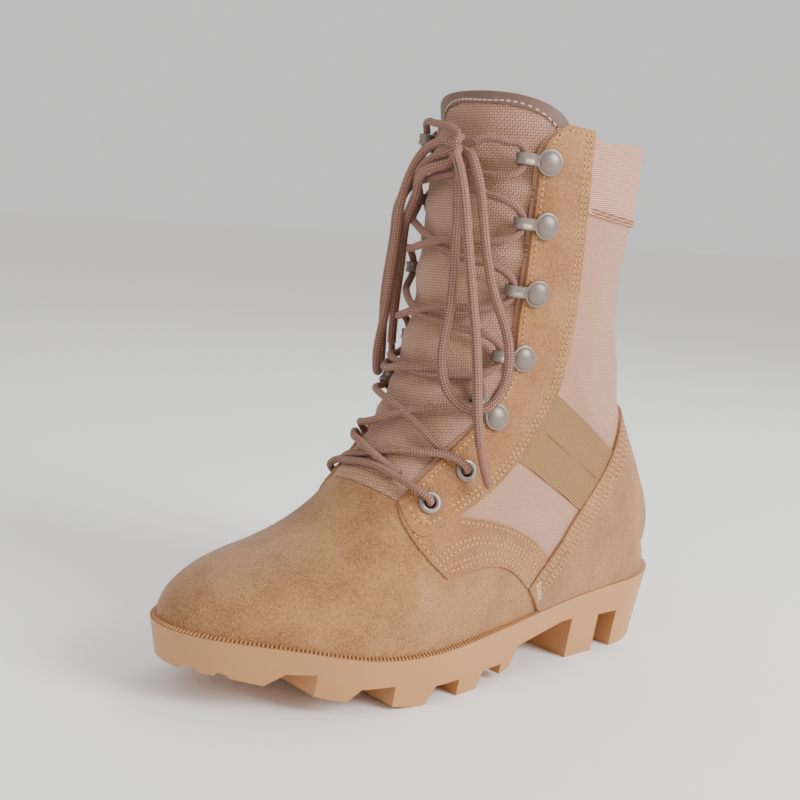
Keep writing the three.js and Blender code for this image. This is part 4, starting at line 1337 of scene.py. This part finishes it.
def front_stitches(name, row, above, thread):
    """A row of stitches over the tongue's front, along [x, z] points seen from ahead."""
    row = resample(smooth_line(row, 1), FRONT_SPACING)
    on_form = front_places(row)
    grid_points = grid.points.reshape(-1, 3)
    nearest = [int(np.argmin(np.linalg.norm(grid_points - at, axis=1))) for at in on_form]
    out = outer_tongue + puff.reshape(-1)[nearest] + above
    at = front_places(row, out)
    up = front_places(row, out + 1) - at
    template, template_faces = STITCH
    made = instance(template, (at[1:] + at[:-1]) / 2, np.diff(at, axis=0), (up[1:] + up[:-1]) / 2)
    faces = repeated(template_faces, len(template), len(made))
    piece = add_mesh(name, made.reshape(-1, 3), faces, [thread])
    return finish_piece(soften(piece, 70), "tongue")


def above_throat(x, distance):
    """The [x, z] place on the front that far above the throat."""
    z = np.linspace(92, 116, 13)
    at = front_places([(x, value) for value in z])
    return x, float(np.interp(distance, (at[:, 1:] - THROAT[0]) @ THROAT_UP, z))


front_stitches("binding_stitches", BINDING_ROW, 0.85, PALE_THREAD)
for distance in (2.2, 5.4):
    row = [above_throat(x, distance) for x in range(-22, 27, 6)]
    front_stitches(f"base_stitches_{distance:.0f}", row, 0.95, THREAD)


# ---- Hooks and eyelets
def lathe(profile, sides, matrix):
    """Points and faces of a closed profile of (radius, height) turned round y."""
    points = []
    for radius, up in profile:
        for i in range(sides):
            a = math.tau * i / sides
            points.append(matrix @ Vector((radius * math.cos(a), up, radius * math.sin(a))))
    index = numbered(len(profile), sides)
    return points, between_rings(np.concatenate([index, index[:1]]), ends=False)


def sweep_arm(path, width, thick, matrix):
    """A rounded strip along a path in the hook's own side view, with a groove along its top."""
    path = np.array(path, float)
    ahead = unit(np.gradient(path, axis=0))
    up = np.stack([-ahead[:, 1], ahead[:, 0]], axis=1)
    half, edge, groove = width / 2, 0.35, 0.35
    section = [
        (-half, -thick / 2 + edge),
        (-half, thick / 2 - edge),
        (-half + edge, thick / 2),
        (-1.1, thick / 2),
        (-0.5, thick / 2 - groove),
        (0.5, thick / 2 - groove),
        (1.1, thick / 2),
        (half - edge, thick / 2),
        (half, thick / 2 - edge),
        (half, -thick / 2 + edge),
        (half - edge, -thick / 2),
        (-half + edge, -thick / 2),
    ]
    points = []
    for place, rise in zip(path, up):
        for across, lift in section:
            x, y = place + rise * lift
            points.append(matrix @ Vector((x, y, across)))
    return points, between_rings(numbered(len(path), len(section)))


DOME = [
    (0.01, 5.5), (1.6, 5.42), (3.2, 5.1), (4.6, 4.55), (5.3, 4.05), (5.5, 3.75), (6.1, 3.75),
    (6.5, 3.55), (6.65, 3.1), (6.55, 2.55), (0.01, 2.5),
]
RING = [
    (2.9, -1.7), (3.9, -1.7), (3.9, 2.0), (5.3, 2.35), (5.6, 2.6), (5.5, 2.95), (5.0, 3.3),
    (4.2, 3.45), (3.4, 3.3), (2.95, 2.8),
]


def hook_path():
    """The arm of a hook in its own side view: out of the rivet and round in a half turn."""
    radius = HOOK_BEND + HOOK_SHEET / 2
    path = [(1, HOOK_BASE + 0.6), (5.6, HOOK_BASE + 0.6), (7, HOOK_BASE + 1.2)]
    path += [(8.8, HOOK_MIDDLE + radius - 0.25), (10, HOOK_MIDDLE + radius)]
    for turn in np.linspace(math.pi / 2, -math.pi / 2, 13):
        path.append((HOOK_REACH + radius * math.cos(turn), HOOK_MIDDLE + radius * math.sin(turn)))
    return [*path, (HOOK_REACH - 1.9, HOOK_MIDDLE - radius)]


def merged(name, parts, material):
    """Several (points, faces) parts as one piece."""
    points, faces = [], []
    for part_points, part_faces in parts:
        start = len(points)
        points += [tuple(point) for point in part_points]
        faces += repeated(part_faces, len(part_points), 1, start)
    return soften(clean(add_mesh(name, points, faces, [material]), 0.03), 40)


for name in SIDES:
    for i, matrix in enumerate(frames[name]["hooks"]):
        parts = [lathe(DOME, 32, matrix), sweep_arm(hook_path(), 5.6, HOOK_SHEET, matrix)]
        piece = merged(f"hook_painted_{name}_{i + 1}", parts, PAINTED)
        finish_piece(piece, "hook", f"hook_{name}_{i + 1}")
    for i, matrix in enumerate(frames[name]["eyelets"]):
        piece = merged(f"eyelet_ring_{name}_{i + 1}", [lathe(RING, 32, matrix)], EYELET_METAL)
        finish_piece(piece, "eyelet", f"eyelet_{name}_{i + 1}")

# ---- Sole
SIDE_TAPER = 0.15
UNDERSIDE = [
    (FRONT_END, 18), (-147.5, 17.6), (-147, 19.6), (-143, 19.5), (-142.5, 17.4), (-138, 17.2),
    (-137.5, 18.9), (-133.5, 18.4), (-133, 16.7), (-118, 13.8), (-94, 8.2), (-70, 3.4), (-55, 0.6),
    (-50, 0), (-9, 0), (4, 2.5), (17, 5.5), (20, 16), (38, 19), (58, 22.4), (66, 22.4), (66, 0),
    (134, 0), (146, 3.5), (BACK_END, 14),
]
GROOVES = [
    # start, startUp, roofStart, roof, end, rib
    (-121, 14.4, -113.5, 20.5, -101, 7),
    (-87, 6.8, -81, 12.5, -64, 7),
    (-45, 0, -39.5, 8.5, -23.5, 7),
    (-9, 0, -5, 9, 9, 7),
    (88.5, 0, 88.5, 21, 104, 0),
]
FLOOR = -1
WAIST = 38  # y where the knurled rand ends
OUTLINE_POINTS = 111


def sole_piece():
    """The outsole: a tapered block cut to the underside's profile and grooved."""
    share = -np.cos(np.linspace(0, math.pi, OUTLINE_POINTS))
    y_top = share * HEEL
    centre, half, top = sole_at(y_top)
    inset = SIDE_TAPER * (top - FLOOR)
    y_low = share * (HEEL - inset)
    low_centre, low_half, _ = sole_at(y_low, inset)
    floor = np.full_like(y_top, FLOOR)
    rings = np.stack(
        [
            np.stack([centre + half, y_top, top], 1),
            np.stack([centre - half, y_top, top], 1),
            np.stack([low_centre - low_half, y_low, floor], 1),
            np.stack([low_centre + low_half, y_low, floor], 1),
        ],
        axis=1,
    )
    faces = between_rings(numbered(len(share), 4))
    sole = clean(add_mesh("sole", rings.reshape(-1, 3), faces, LAYERS))
    above = HEEL_HEIGHT * 2
    outline = [*UNDERSIDE, (BACK_END, above), (FRONT_END, above)]
    cut(sole, side_bar(outline, 0), "INTERSECT")
    for start, start_up, roof_start, roof, end, rib in GROOVES:
        groove = [(start, FLOOR - 1), (start, start_up), (roof_start, roof), (end, roof)]
        groove.append((end, FLOOR - 1))
        spans = [(rib, WIDE), (-WIDE, -rib)] if rib else [(-WIDE, WIDE)]
        for span in spans:
            cut(sole, side_bar(groove, 0, *span), "DIFFERENCE")
    sole.name = "sole_rubber"
    sole.data.materials.clear()
    sole.data.materials.append(RUBBER)
    clean(sole, 0.02)
    bevel = sole.modifiers.new("soft edges", "BEVEL")
    bevel.width = 0.7 * MM
    bevel.segments = 2
    bevel.angle_limit = math.radians(40)
    bevel.use_clamp_overlap = True
    return soften(sole, 30)


finish_piece(sole_piece(), "sole", "outsole")


def edge_line(inset, spacing):
    """The sole's top edge from one waist round the toe to the other, moved inwards."""
    y = -np.cos(np.linspace(0, math.pi, 400)) * HEEL
    centre, half, top = sole_at(y)
    front = y < WAIST
    lateral = np.stack([centre + half, y, top], 1)[front]
    medial = np.stack([centre - half, y, top], 1)[front]
    line = resample(np.concatenate([medial[::-1], lateral[1:]]), spacing)
    ahead = unit(np.gradient(line, axis=0))
    inwards = unit(np.cross((0, 0, 1), ahead))
    return line + inwards * inset, ahead, inwards


def strip(name, section, material):
    """A closed strip along the sole's edge: section is a list of (inset, rise)."""
    line, _, inwards = edge_line(0, 1.5)
    rings = np.stack([line + inwards * inset + (0, 0, rise) for inset, rise in section], axis=1)
    faces = between_rings(numbered(len(line), len(section)))
    return soften(clean(add_mesh(name, rings.reshape(-1, 3), faces, [material]), 0.001))


TOOTH = np.array(
    [
        # along, inwards, up
        (-0.6, -1.1, -0.3), (0.5, -1.1, -0.3), (0.6, 1.2, -0.3), (-0.5, 1.2, -0.3),
        (-0.3, -0.8, 0.75), (0.3, -0.8, 0.75), (0.6, 1.2, 1.25), (0, 1.2, 1.25),
    ]
)
TOOTH_INSET = 1.6
TOOTH_PITCH = 2
TOOTH_FACES = [(3, 2, 1, 0), (4, 5, 6, 7), (0, 1, 5, 4), (1, 2, 6, 5), (2, 3, 7, 6), (3, 0, 4, 7)]


def rand():
    """The knurled ridge on the sole's top edge, as one joined mesh of teeth."""
    line, ahead, inwards = edge_line(TOOTH_INSET, TOOTH_PITCH)
    axes = np.stack([ahead, inwards, np.cross(ahead, inwards)], axis=1)
    points = line[:, None] + np.einsum("pk,nkc->npc", TOOTH, axes)
    faces = repeated(TOOTH_FACES, len(TOOTH), len(line))
    return clean(add_mesh("knurled_rand", points.reshape(-1, 3), faces, [RUBBER]), 0.001)


finish_piece(rand(), "sole")
# A thin dark strip under the teeth: painted shade at the base of the knurled rand.
groove = [(0.35, -0.2), (2.9, -0.2), (2.9, 0.25), (0.35, 0.12)]
finish_piece(strip("rand_shade_strip", groove, RAND_PAINTED_SHADE), "sole")

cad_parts["insole"].data.materials.clear()
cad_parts["insole"].data.materials.append(INSOLE_KNIT)

# ---- Studio
FLOOR_HALF = 40 / MM
corners = [(x * FLOOR_HALF, y * FLOOR_HALF, 0) for x, y in ((-1, -1), (1, -1), (1, 1), (-1, 1))]
floor = add_mesh("floor", corners, [(0, 1, 2, 3)], [plain("floor", "fbfaf8", 0.9)])

world = bpy.data.worlds.new("studio")
world.use_nodes = True
background = world.node_tree.nodes["Background"]
background.inputs["Color"].default_value = (1, 0.99, 0.98, 1)
background.inputs["Strength"].default_value = 0.8
bpy.context.scene.world = world

AIM = Vector((0, 0, 0.13))
LIGHTS = [
    # name, place, size, power
    ("key", (1.4, 0.55, 0.95), 0.8, 36),
    ("fill", (0.4, -1.6, 1.1), 1.4, 5),
    ("top", (-0.2, 0.9, 1.6), 1.0, 9),
]
for name, place, size, power in LIGHTS:
    lamp_data = bpy.data.lights.new(name, "AREA")
    lamp_data.size = size
    lamp_data.energy = power
    lamp = bpy.data.objects.new(name, lamp_data)
    bpy.context.scene.collection.objects.link(lamp)
    lamp.location = place
    lamp.rotation_euler = (AIM - Vector(place)).to_track_quat("-Z", "Y").to_euler()
